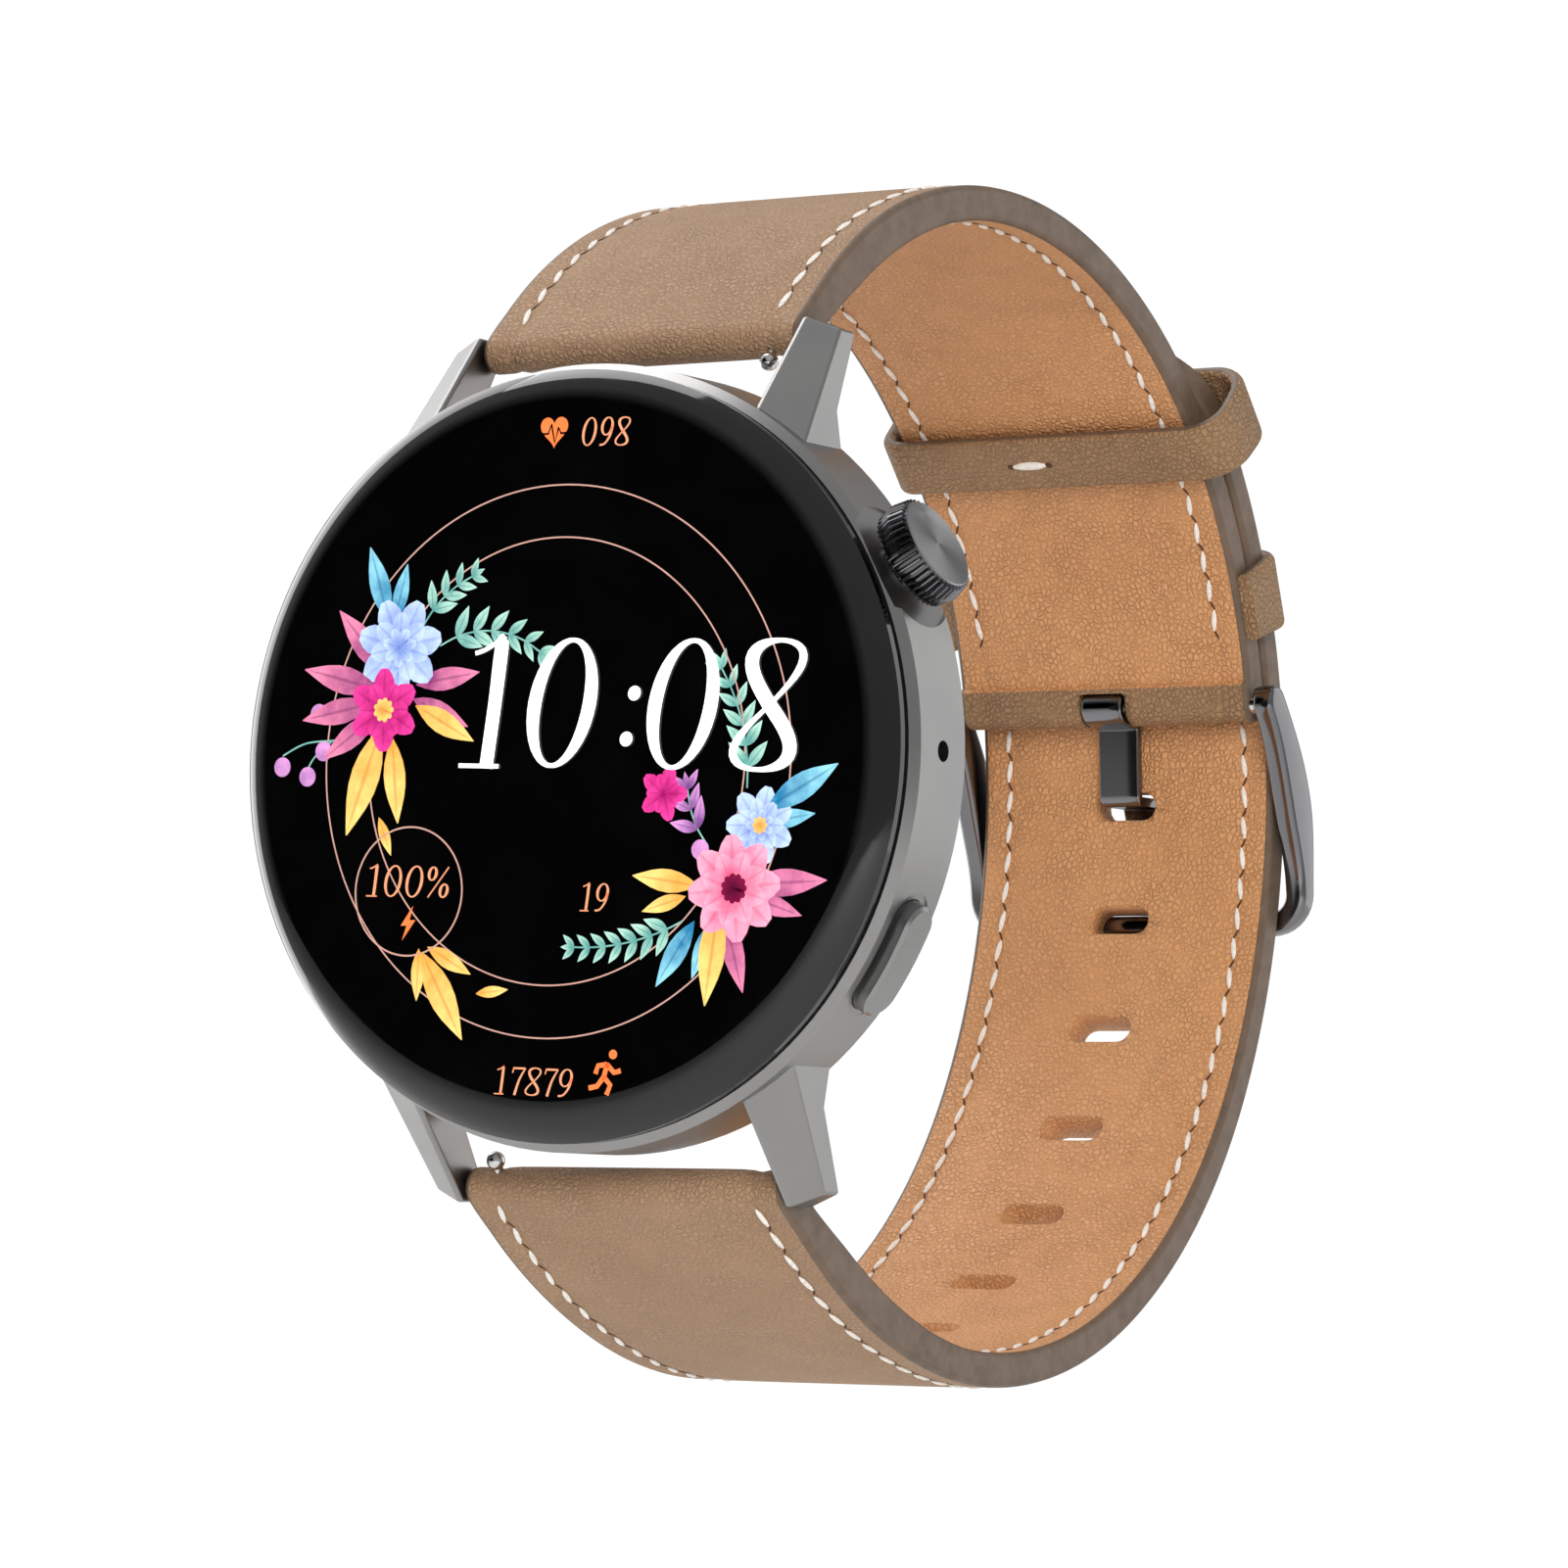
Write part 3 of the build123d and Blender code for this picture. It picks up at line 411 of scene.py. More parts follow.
def plate_unit(name, half_width, steps=7):
    """A thin leaf or petal, one long from its foot; half_width gives its shape along it."""
    points, uvs, faces = [], [], []
    for level in (0, 1):
        for step in range(steps + 1):
            run = step / steps
            reach = max(half_width(run), 0.004)
            for side in (-1, 0, 1):
                points.append((run, side * reach, level))
                uvs.append((run, 0.5 + 0.5 * side))
    layer = 3 * (steps + 1)
    for step in range(steps):
        for side in (0, 1):
            a = 3 * step + side
            faces.append((a, a + 1, a + 4, a + 3))
            faces.append((layer + a, layer + a + 3, layer + a + 4, layer + a + 1))
        for a, b in ((3 * step, 3 * step + 3), (3 * step + 5, 3 * step + 2)):
            faces.append((a, b, layer + b, layer + a))
    for a in (2, 3 * steps):
        b, c = a - 1 if a == 2 else a + 1, a - 2 if a == 2 else a + 2
        faces += [(a, layer + a, layer + b, b), (b, layer + b, layer + c, c)]
    return outward(mesh_piece(name, points, faces, [], uvs=uvs))


# ---- finishes ----
def surface_group(name, inputs, outputs):
    """A shader node group with named inputs and outputs, each given as (name, kind, value)."""
    tree = bpy.data.node_groups.new(name, "ShaderNodeTree")
    for label, kind, value in inputs:
        socket = tree.interface.new_socket(label, in_out="INPUT", socket_type="NodeSocket" + kind)
        if value is not None:
            socket.default_value = value
    for label, kind in outputs:
        tree.interface.new_socket(label, in_out="OUTPUT", socket_type="NodeSocket" + kind)
    return tree, tree.nodes.new("NodeGroupInput"), tree.nodes.new("NodeGroupOutput")


def maths(tree, operation, a, b=None, clamp=False):
    node = tree.nodes.new("ShaderNodeMath")
    node.operation, node.use_clamp = operation, clamp
    for socket, value in zip(node.inputs, (a, b)):
        if isinstance(value, (int, float)):
            socket.default_value = value
        elif value is not None:
            tree.links.new(value, socket)
    return node.outputs[0]


def mixed(tree, share, a, b, blend="MIX"):
    node = tree.nodes.new("ShaderNodeMix")
    node.data_type, node.blend_type = "RGBA", blend
    for socket, value in ((node.inputs["Factor"], share), (node.inputs["A"], a), (node.inputs["B"], b)):
        pick = [s for s in node.inputs if s.name == socket.name and s.enabled][0]
        if isinstance(value, (int, float)) or isinstance(value, tuple):
            pick.default_value = value
        else:
            tree.links.new(value, pick)
    return [s for s in node.outputs if s.enabled][0]


def spread(tree, value, low, high, to_low=0.0, to_high=1.0):
    node = tree.nodes.new("ShaderNodeMapRange")
    tree.links.new(value, node.inputs["Value"])
    for label, number in (("From Min", low), ("From Max", high), ("To Min", to_low), ("To Max", to_high)):
        node.inputs[label].default_value = number
    return node.outputs["Result"]


def noise(tree, vector, scale, detail=3.0, rough=0.55):
    node = tree.nodes.new("ShaderNodeTexNoise")
    tree.links.new(vector, node.inputs["Vector"])
    if isinstance(scale, (int, float)):
        node.inputs["Scale"].default_value = scale
    else:
        tree.links.new(scale, node.inputs["Scale"])
    node.inputs["Detail"].default_value = detail
    node.inputs["Roughness"].default_value = rough
    return node.outputs["Fac"]


def leather_grain():
    """Pebbled grain with creases between the pebbles, the creases darkened as painted shade, over slow
    mottling.
    """
    inputs = (("Vector", "Vector", None), ("Light", "Color", None), ("Dark", "Color", None))
    inputs += (("Pebble Scale", "Float", 900.0), ("Crease", "Float", 0.5), ("Mottle", "Float", 0.5))
    outputs = (("Color", "Color"), ("Roughness", "Float"), ("Height", "Float"))
    tree, given, made = surface_group("leather_grain", inputs, outputs)
    link = tree.links.new
    vector = given.outputs["Vector"]
    wander = tree.nodes.new("ShaderNodeTexNoise")
    link(vector, wander.inputs["Vector"])
    wander.inputs["Scale"].default_value = 1500.0
    wander.inputs["Detail"].default_value = 2.0
    bend = tree.nodes.new("ShaderNodeVectorMath")
    bend.operation = "MULTIPLY_ADD"
    link(wander.outputs["Color"], bend.inputs[0])
    bend.inputs[1].default_value = (0.00026, 0.00026, 0.00026)
    link(vector, bend.inputs[2])
    cells = tree.nodes.new("ShaderNodeTexVoronoi")
    cells.feature = "DISTANCE_TO_EDGE"
    link(bend.outputs[0], cells.inputs["Vector"])
    link(given.outputs["Pebble Scale"], cells.inputs["Scale"])
    pebble = spread(tree, cells.outputs["Distance"], 0.0, 0.32)
    pebble = maths(tree, "POWER", pebble, 0.55, clamp=True)
    fine = noise(tree, vector, 5200.0, 2.0)
    slow = noise(tree, vector, 95.0, 4.0, 0.6)
    patch = noise(tree, vector, 420.0, 3.0, 0.6)
    soft = maths(tree, "MULTIPLY", pebble, spread(tree, patch, 0.25, 0.7, 0.35, 1.0))
    height = maths(tree, "ADD", soft, maths(tree, "MULTIPLY", fine, 0.22))
    link(height, made.inputs["Height"])
    # Painted shade: the colour darkens in the creases between the pebbles, by the amount given for the
    # creases.
    shade_in_creases = maths(tree, "SUBTRACT", 1.0, soft, clamp=True)
    shade_in_creases = maths(tree, "MULTIPLY", shade_in_creases, given.outputs["Crease"])
    tone = maths(tree, "MULTIPLY", spread(tree, slow, 0.35, 0.68), given.outputs["Mottle"])
    share = maths(tree, "ADD", shade_in_creases, tone, clamp=True)
    link(mixed(tree, share, given.outputs["Light"], given.outputs["Dark"]), made.inputs["Color"])
    link(spread(tree, height, 0.1, 1.1, 0.66, 0.44), made.inputs["Roughness"])
    return tree


def metal_grain():
    """A blasted or brushed metal skin: fine grain stretched by the vector, with slow clouding."""
    inputs = (("Vector", "Vector", None), ("Color", "Color", None), ("Cloud Color", "Color", None))
    inputs += (("Grain Scale", "Float", 2500.0), ("Base Roughness", "Float", 0.3))
    inputs += (("Roughness Swing", "Float", 0.1),)
    outputs = (("Color", "Color"), ("Roughness", "Float"), ("Height", "Float"))
    tree, given, made = surface_group("metal_grain", inputs, outputs)
    link = tree.links.new
    grain = noise(tree, given.outputs["Vector"], given.outputs["Grain Scale"], 2.0, 0.5)
    cloud = noise(tree, given.outputs["Vector"], 120.0, 3.0, 0.5)
    share = spread(tree, cloud, 0.35, 0.7)
    link(mixed(tree, share, given.outputs["Color"], given.outputs["Cloud Color"]), made.inputs["Color"])
    swing = maths(tree, "MULTIPLY", maths(tree, "SUBTRACT", grain, 0.5), given.outputs["Roughness Swing"])
    link(maths(tree, "ADD", given.outputs["Base Roughness"], swing, clamp=True), made.inputs["Roughness"])
    link(grain, made.inputs["Height"])
    return tree


def speckle():
    """Fine moulded speckle with a slow tone change, for plastic, rubber, paint and foil."""
    inputs = (("Vector", "Vector", None), ("Color", "Color", None), ("Speck Color", "Color", None))
    inputs += (("Speck Scale", "Float", 1800.0), ("Base Roughness", "Float", 0.5))
    outputs = (("Color", "Color"), ("Roughness", "Float"), ("Height", "Float"))
    tree, given, made = surface_group("speckle", inputs, outputs)
    link = tree.links.new
    specks = noise(tree, given.outputs["Vector"], given.outputs["Speck Scale"], 3.0, 0.6)
    slow = noise(tree, given.outputs["Vector"], 150.0, 3.0, 0.5)
    share = maths(tree, "MULTIPLY", spread(tree, specks, 0.4, 0.7), spread(tree, slow, 0.3, 0.7, 0.4, 1.0))
    link(mixed(tree, share, given.outputs["Color"], given.outputs["Speck Color"]), made.inputs["Color"])
    rough = maths(tree, "ADD", given.outputs["Base Roughness"], spread(tree, specks, 0.3, 0.7, -0.05, 0.05))
    link(rough, made.inputs["Roughness"])
    link(specks, made.inputs["Height"])
    return tree


def wash():
    """Watery colour along a leaf or petal: foot to tip, with blooms and a faint middle vein."""
    inputs = (("UV", "Vector", None), ("Vector", "Vector", None), ("Foot", "Color", None))
    inputs += (("Tip", "Color", None), ("Vein", "Color", None), ("Vein Share", "Float", 0.5))
    tree, given, made = surface_group("wash", inputs, (("Color", "Color"),))
    link = tree.links.new
    apart = tree.nodes.new("ShaderNodeSeparateXYZ")
    link(given.outputs["UV"], apart.inputs[0])
    bloom = noise(tree, given.outputs["Vector"], 900.0, 3.0, 0.6)
    run = maths(tree, "ADD", apart.outputs["X"], spread(tree, bloom, 0.3, 0.7, -0.3, 0.3), clamp=True)
    body = mixed(tree, run, given.outputs["Foot"], given.outputs["Tip"])
    off = maths(tree, "ABSOLUTE", maths(tree, "SUBTRACT", apart.outputs["Y"], 0.5))
    vein = maths(tree, "MULTIPLY", spread(tree, off, 0.09, 0.03), given.outputs["Vein Share"])
    link(mixed(tree, vein, body, given.outputs["Vein"]), made.inputs["Color"])
    return tree


def tint(red, green, blue):
    """A colour given in everyday 0 to 255 values, as the shaders want it."""
    channels = [value / 255 for value in (red, green, blue)]
    linear = [c / 12.92 if c <= 0.04045 else ((c + 0.055) / 1.055) ** 2.4 for c in channels]
    return (*linear, 1.0)


def finish(name, group, values, bump=0.0, bump_distance=0.05, stretch=(1, 1, 1), uv=False, **sockets):
    """A Principled material around one of the groups; sockets are the shader's own constants."""
    material = bpy.data.materials.new(name)
    material.use_nodes = True
    tree = material.node_tree
    shader = tree.nodes["Principled BSDF"]
    place, fit = tree.nodes.new("ShaderNodeTexCoord"), tree.nodes.new("ShaderNodeMapping")
    tree.links.new(place.outputs["UV" if uv else "Object"], fit.inputs["Vector"])
    fit.inputs["Scale"].default_value = stretch
    skin = tree.nodes.new("ShaderNodeGroup")
    skin.node_tree = bpy.data.node_groups.get(group.__name__) or group()
    tree.links.new(fit.outputs["Vector"], skin.inputs["Vector"])
    for label, value in values.items():
        skin.inputs[label].default_value = value
    tree.links.new(skin.outputs["Color"], shader.inputs["Base Color"])
    tree.links.new(skin.outputs["Roughness"], shader.inputs["Roughness"])
    if bump:
        relief = tree.nodes.new("ShaderNodeBump")
        relief.inputs["Strength"].default_value = bump
        relief.inputs["Distance"].default_value = bump_distance * MM
        tree.links.new(skin.outputs["Height"], relief.inputs["Height"])
        tree.links.new(relief.outputs["Normal"], shader.inputs["Normal"])
    for label, value in sockets.items():
        shader.inputs[label.replace("_", " ")].default_value = value
    return material


def leather(name, light, dark, pebble, crease_shade, mottle, bump, **sockets):
    values = {"Light": light, "Dark": dark, "Pebble Scale": pebble, "Crease": crease_shade, "Mottle": mottle}
    return finish(name, leather_grain, values, bump, 0.16, **sockets)


def metal(name, color, cloud, rough, swing=0.1, scale=2500.0, bump=0.0, **sockets):
    values = {"Color": color, "Cloud Color": cloud, "Base Roughness": rough}
    values.update({"Roughness Swing": swing, "Grain Scale": scale})
    return finish(name, metal_grain, values, bump, 0.01, Metallic=1.0, **sockets)


def moulded(name, color, speck, rough, scale=1800.0, bump=0.05, **sockets):
    values = {"Color": color, "Speck Color": speck, "Base Roughness": rough, "Speck Scale": scale}
    return finish(name, speckle, values, bump, 0.02, **sockets)


def painted(name, foot, tip, vein, vein_share=0.5, glow=0.55):
    """Lit artwork on the dial: the wash feeds both the colour and a soft glow."""
    material = bpy.data.materials.new(name)
    material.use_nodes = True
    tree = material.node_tree
    shader, place = tree.nodes["Principled BSDF"], tree.nodes.new("ShaderNodeTexCoord")
    skin = tree.nodes.new("ShaderNodeGroup")
    skin.node_tree = bpy.data.node_groups.get("wash") or wash()
    tree.links.new(place.outputs["UV"], skin.inputs["UV"])
    tree.links.new(place.outputs["Object"], skin.inputs["Vector"])
    for label, value in (("Foot", foot), ("Tip", tip), ("Vein", vein), ("Vein Share", vein_share)):
        skin.inputs[label].default_value = value
    tree.links.new(skin.outputs["Color"], shader.inputs["Emission Color"])
    tree.links.new(skin.outputs["Color"], shader.inputs["Base Color"])
    shader.inputs["Emission Strength"].default_value = glow
    shader.inputs["Roughness"].default_value = 0.25
    shader.inputs["Specular IOR Level"].default_value = 0.2
    return material


top_tan, top_brown = tint(182, 146, 115), tint(148, 116, 86)
top_leather = leather("top_leather", top_tan, top_brown, 2900, 0.25, 0.35, 0.75, Specular_IOR_Level=0.3)
rolled_leather = leather("rolled_leather", tint(172, 135, 98), tint(124, 94, 64), 2700, 0.3, 0.3, 0.95)
lining_leather = leather("lining_leather", tint(228, 168, 116), tint(180, 122, 74), 2700, 0.24, 0.25, 0.85)
keeper_leather = leather("keeper_leather", tint(170, 134, 98), tint(126, 96, 65), 2700, 0.3, 0.3, 0.95)
edge_paint = moulded("edge_paint", tint(112, 92, 76), tint(94, 78, 63), 0.5, 900, 0.12)
thread = moulded("thread", tint(250, 245, 238), tint(222, 211, 198), 0.75, 5000, 0.4)
# Painted shade: dark brown beads set where the stitch holes are, standing for the shade in the holes.
prick = moulded("prick", tint(92, 62, 42), tint(60, 40, 28), 0.8, 4000)

satin_case = metal("satin_case", tint(158, 157, 156), tint(150, 149, 149), 0.34, 0.08, 9000, 0.05)
gunmetal = metal("gunmetal", tint(112, 110, 112), tint(100, 98, 100), 0.24, 0.05, 6000, 0.03)
polished_gunmetal = metal("polished_gunmetal", tint(132, 131, 134), tint(122, 121, 124), 0.13, 0.05, 4000)
bright_steel = metal("bright_steel", tint(225, 224, 222), tint(210, 209, 207), 0.1, 0.05, 4000)
dull_steel = metal("dull_steel", tint(168, 168, 170), tint(150, 150, 152), 0.32, 0.12, 3000, 0.05)
gold = metal("gold", tint(232, 190, 110), tint(215, 170, 92), 0.2, 0.08, 3000)
foil = metal("foil", tint(150, 152, 156), tint(128, 130, 134), 0.35, 0.15, 1200, 0.1)
brass_weight = metal("brass_weight", tint(196, 164, 104), tint(170, 140, 86), 0.35, 0.1, 2000)

black_glass = moulded("black_glass", tint(4, 4, 5), tint(7, 7, 8), 0.06, 300, 0.0, Coat_Weight=0.3)
window_glass = moulded("window_glass", tint(9, 9, 12), tint(15, 13, 18), 0.08, 500, 0.0, Coat_Weight=0.4)
display_black = moulded("display_black", tint(8, 8, 10), tint(14, 14, 17), 0.3, 1500)
black_plastic = moulded("black_plastic", tint(24, 24, 26), tint(34, 34, 37), 0.5, 2600, 0.15)
back_plastic = moulded("back_plastic", tint(30, 30, 33), tint(40, 40, 43), 0.42, 3200, 0.12)
rubber = moulded("rubber", tint(20, 20, 20), tint(30, 30, 30), 0.8, 2200, 0.1)
solder_mask = moulded("solder_mask", tint(22, 78, 56), tint(32, 98, 72), 0.4, 1400, 0.1)
flex_film = moulded("flex_film", tint(160, 104, 42), tint(190, 130, 60), 0.35, 900)
led_lens = moulded("led_lens", tint(190, 225, 170), tint(150, 205, 140), 0.2, 800)

dial_white = painted("dial_white", tint(250, 250, 248), tint(250, 250, 248), tint(250, 250, 248), 0.0, 0.9)
dial_peach = painted("dial_peach", tint(226, 150, 112), tint(232, 168, 134), tint(226, 150, 112), 0.0)
dial_line = painted("dial_line", tint(190, 146, 134), tint(206, 162, 148), tint(190, 146, 134), 0.0, 0.4)
dial_orange = painted("dial_orange", tint(245, 122, 66), tint(240, 138, 84), tint(245, 122, 66), 0.0)
dial_black = painted("dial_black", tint(4, 4, 5), tint(4, 4, 5), tint(4, 4, 5), 0.0, 0.0)
teal_leaf = painted("teal_leaf", tint(92, 152, 146), tint(176, 216, 198), tint(52, 104, 104))
blue_leaf = painted("blue_leaf", tint(40, 118, 160), tint(140, 204, 222), tint(28, 84, 130))
gold_leaf = painted("gold_leaf", tint(222, 160, 74), tint(244, 206, 122), tint(182, 116, 50))
pink_leaf = painted("pink_leaf", tint(140, 62, 112), tint(222, 130, 164), tint(112, 46, 94))
lilac_leaf = painted("lilac_leaf", tint(112, 70, 130), tint(214, 150, 208), tint(92, 54, 112))
magenta_petal = painted("magenta_petal", tint(150, 18, 92), tint(226, 62, 148), tint(120, 10, 72), 0.3)
rose_petal = painted("rose_petal", tint(222, 66, 112), tint(248, 160, 184), tint(190, 40, 92), 0.3)
blue_petal = painted("blue_petal", tint(96, 120, 190), tint(184, 204, 240), tint(80, 98, 170), 0.3)
heart_dark = painted("heart_dark", tint(70, 10, 40), tint(120, 20, 60), tint(70, 10, 40), 0.0)
yellow_centre = painted("yellow_centre", tint(226, 130, 60), tint(250, 196, 110), tint(226, 130, 60), 0.0)

node_finishes = {
    "cover_glass": black_glass, "glass_adhesive": rubber, "display_panel": display_black,
    "display_flex": flex_film, "case_body": satin_case, "inner_frame": black_plastic, "battery": foil,
    "main_board": solder_mask, "board_shields": dull_steel, "haptic_motor_can": dull_steel,
    "haptic_motor_shaft": bright_steel, "haptic_rotor": brass_weight, "speaker_module": black_plastic,
    "microphone": black_plastic, "microphone_mesh": rubber, "sensor_board": solder_mask,
    "sensor_leds": led_lens, "sensor_light_dam": black_plastic, "sensor_window": window_glass,
    "back_cover": back_plastic, "back_cover_gasket": rubber, "back_cover_screws": dull_steel,
    "charging_contacts": gold, "crown_stem": bright_steel, "crown_clip": dull_steel,
    "crown_carrier": bright_steel, "crown_tube": gunmetal, "crown_seal": rubber,
    "crown_switch": black_plastic, "button_cap": satin_case, "button_stem": bright_steel,
    "button_clip": dull_steel, "button_seal": rubber, "button_switch": black_plastic,
    "buckle_bar": bright_steel,
}
for side in ("upper", "lower"):
    node_finishes[side + "_bar_tube"] = dull_steel
    node_finishes[side + "_bar_fixed_pin"] = bright_steel
    node_finishes[side + "_release_pin"] = bright_steel
    node_finishes[side + "_bar_spring"] = bright_steel
for node_name, chosen in node_finishes.items():
    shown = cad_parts[node_name]
    shown.data.materials.clear()
    shown.data.materials.append(chosen)


# ---- strap ----
def padding(distance):
    """How much the lining swells over the padding near the lugs."""
    return lug_padding * eased(distance / 8) * (1 - eased((distance - 9) / 16))


def half_width_at(distance, length, pointed):
    """Half the strap's width: wider between the lugs, and drawn in to a blunt point at the tail."""
    half = strap_width_at_lugs / 2 - (strap_width_at_lugs - strap_width) / 2 * eased((distance - 2) / 12)
    left = length + half_thickness - distance
    if pointed and left < tail_point_length:
        short = 1 - max(left, 0) / tail_point_length
        half *= 1 - 0.45 * short ** 2.2
    return half


def strap_outline(length, inset, buckle_fold, step=0.55):
    """The strap seen from the side as (distance, offset, region), drawn in by an inset."""
    count = int(length / step)
    nose_steps = 12
    fold_start = length - buckle_fold_back

    def outer(distance):
        return half_thickness + (roll_radius - half_thickness) * (1 - eased(distance / 3)) - inset

    def inner(distance):
        swell = (roll_radius - half_thickness) * (1 - eased(distance / 3)) + padding(distance)
        if buckle_fold:
            swell += 0.35 * eased((distance - fold_start) / 0.25)
        return -half_thickness - swell + inset

    rings = [(length * i / count, outer(length * i / count), "outer") for i in range(count, 0, -1)]
    for i in range(nose_steps + 1):
        turn = pi * i / nose_steps
        rings.append((-(roll_radius - inset) * sin(turn), (roll_radius - inset) * cos(turn), "nose"))
    stations = [length * i / count for i in range(1, count + 1)]
    if buckle_fold:
        stations = [d for d in stations if abs(d - fold_start) > 0.3] + [fold_start, fold_start + 0.25]
    for distance in sorted(stations):
        folded = buckle_fold and distance > fold_start
        rings.append((distance, inner(distance), "fold" if folded else "inner"))
    middle, reach = (outer(length) + inner(length)) / 2, (outer(length) - inner(length)) / 2
    for i in range(1, nose_steps):
        turn = pi * i / nose_steps
        rings.append((length + reach * sin(turn), middle - reach * cos(turn), "tail"))
    return rings


def strap_columns():
    """The stations across the strap's half width: (distance from the edge, inset)."""
    corner = 0.36
    columns = [(corner * (1 - cos(radians(a))), corner * (1 - sin(radians(a)))) for a in (0, 30, 60, 90)]
    for reach, sink in ((0.9, 0.0), (1.45, 0.01), (1.72, 0.07), (1.95, 0.1), (2.18, 0.07), (2.45, 0.01)):
        columns.append((reach, sink))
    return columns + [(3.2, -0.04), (4.6, -0.05), (6.4, -0.05), (8.4, -0.05)]


def strap_mesh(name, line, length, buckle_fold, pointed):
    """One half of the strap: both leathers, their painted edges and the rolled ends."""
    half = strap_columns()
    columns = [(-1, *c) for c in half] + [(0, 99.0, half[-1][1])] + [(1, *c) for c in reversed(half)]
    around = len(strap_outline(length, 0, buckle_fold))
    points, uvs, faces, paints = [], [], [], []
    for side, reach, inset in columns:
        for distance, offset, _ in strap_outline(length, inset, buckle_fold):
            width = half_width_at(distance, length, pointed)
            x = side * max(width - reach * width * 2 / strap_width, 0)
            points.append(on_line(line, distance, offset, x))
            uvs.append((distance / 10, x / 10))
    regions = [region for _, _, region in strap_outline(length, 0, buckle_fold)]
    finish_index = {"outer": 0, "nose": 0, "inner": 1, "fold": 3, "tail": 3 if buckle_fold else 2}
    for c in range(len(columns) - 1):
        corner = c < 3 or c >= len(columns) - 4
        for i in range(around):
            k = (i + 1) % around
            a, b = c * around, (c + 1) * around
            faces.append((a + i, a + k, b + k, b + i))
            if corner:
                paints.append(2)
            elif regions[i] == "nose" and i >= regions.index("nose") + 8:
                paints.append(3)
            elif regions[i] == "inner" and line_reach(length, regions, i) < fold_back:
                paints.append(3)
            else:
                paints.append(finish_index[regions[i]])
    nose_middle = regions.index("nose") + 6
    for c, side in ((0, -1), (len(columns) - 1, 1)):
        base = c * around
        for i in range(around // 2):
            a, b = base + (nose_middle - i) % around, base + (nose_middle - i - 1) % around
            d, e = base + (nose_middle + i) % around, base + (nose_middle + i + 1) % around
            faces.append(tuple(dict.fromkeys((a, b, e, d) if side > 0 else (d, e, b, a))))
            paints.append(2)
    keep = [index for index, face in enumerate(faces) if len(face) > 2]
    finishes = (top_leather, lining_leather, edge_paint, rolled_leather)
    faces, paints = [faces[i] for i in keep], [paints[i] for i in keep]
    return outward(mesh_piece(name, points, faces, finishes, paints, uvs, sharp=50))


def line_reach(length, regions, index):
    """Distance along the strap of one of its inner stations."""
    inner_start = regions.index("inner")
    total = regions.count("inner") + regions.count("fold")
    return length * (index - inner_start + 1) / total


def cut(piece, cutter):
    """Takes the cutter out of the piece and throws the cutter away."""
    modifier = piece.modifiers.new("cut", "BOOLEAN")
    modifier.operation, modifier.solver, modifier.object = "DIFFERENCE", "EXACT", cutter
    as_plain_mesh(piece)
    discard(cutter)
    return piece


def box_cutter(name, low, high, paint):
    """A block between two corners given as (x, depth, height), its edges rounded."""
    points = [at(d, h, x) for d in (low[1], high[1]) for h in (low[2], high[2]) for x in (low[0], high[0])]
    faces = [(0, 1, 3, 2), (4, 6, 7, 5), (0, 4, 5, 1), (2, 3, 7, 6), (0, 2, 6, 4), (1, 5, 7, 3)]
    block = outward(mesh_piece(name, points, faces, (paint,)))
    soften = block.modifiers.new("soften", "BEVEL")
    soften.width, soften.segments = 0.35 * MM, 3
    return as_plain_mesh(block)


def rod(name, half_length, radius, paint, steps=32):
    """A round bar about the buckle's pivot."""
    circle = [polar(pivot, radius, 360 * step / steps) for step in range(steps)]
    points = [at(depth, height, x) for x in (-half_length, half_length) for depth, height in circle]
    return outward(mesh_piece(name, points, tube_faces(2, steps, False), (paint,)))


def hole_seats():
    seats = []
    for index in range(-holes_above, holes_below + 1):
        distance = tongue_hole_at - index * hole_pitch
        _, out = line_axes(lower_line, distance)
        seats.append((on_line(lower_line, distance, 0), (1, 0, 0), out, 1.0))
    return seats


def upper_strap():
    piece = strap_mesh("upper_strap", upper_line, upper_length, True, False)
    half_slot = tongue_width / 2 + 0.28
    low = (-half_slot, pivot[0] - 3, pivot[1] - 3)
    high = (half_slot, pivot[0] + 3, pivot[1] + 0.85)
    cut(piece, box_cutter("tongue_slot", low, high, rolled_leather))
    room = tongue_curl_radius + tongue_thickness / 2 + 0.06
    return cut(piece, rod("tongue_room", half_slot, room, rolled_leather))


def lower_strap():
    piece = strap_mesh("lower_strap", lower_line, lower_length, False, True)
    unit = slot_unit("hole_unit")
    width = hole_width + hole_ease
    holes = repeated("strap_holes", hole_seats(), unit, lining_leather, hole_length, width, 5.0)
    discard(unit)
    return cut(piece, holes)


def stitch_rows():
    """Every run of stitching: (line, first distance, last distance, x side, face side)."""
    upper_last, lower_last = upper_length - 4.2, lower_length - 4.5
    rows = []
    for side in (-1, 1):
        rows += [(upper_line, 2.0, upper_last + 1.6, side, 1), (upper_line, 6.4, upper_last, side, -1)]
        rows += [(lower_line, 1.0, lower_last, side, 1), (lower_line, 6.4, lower_last, side, -1)]
    return rows


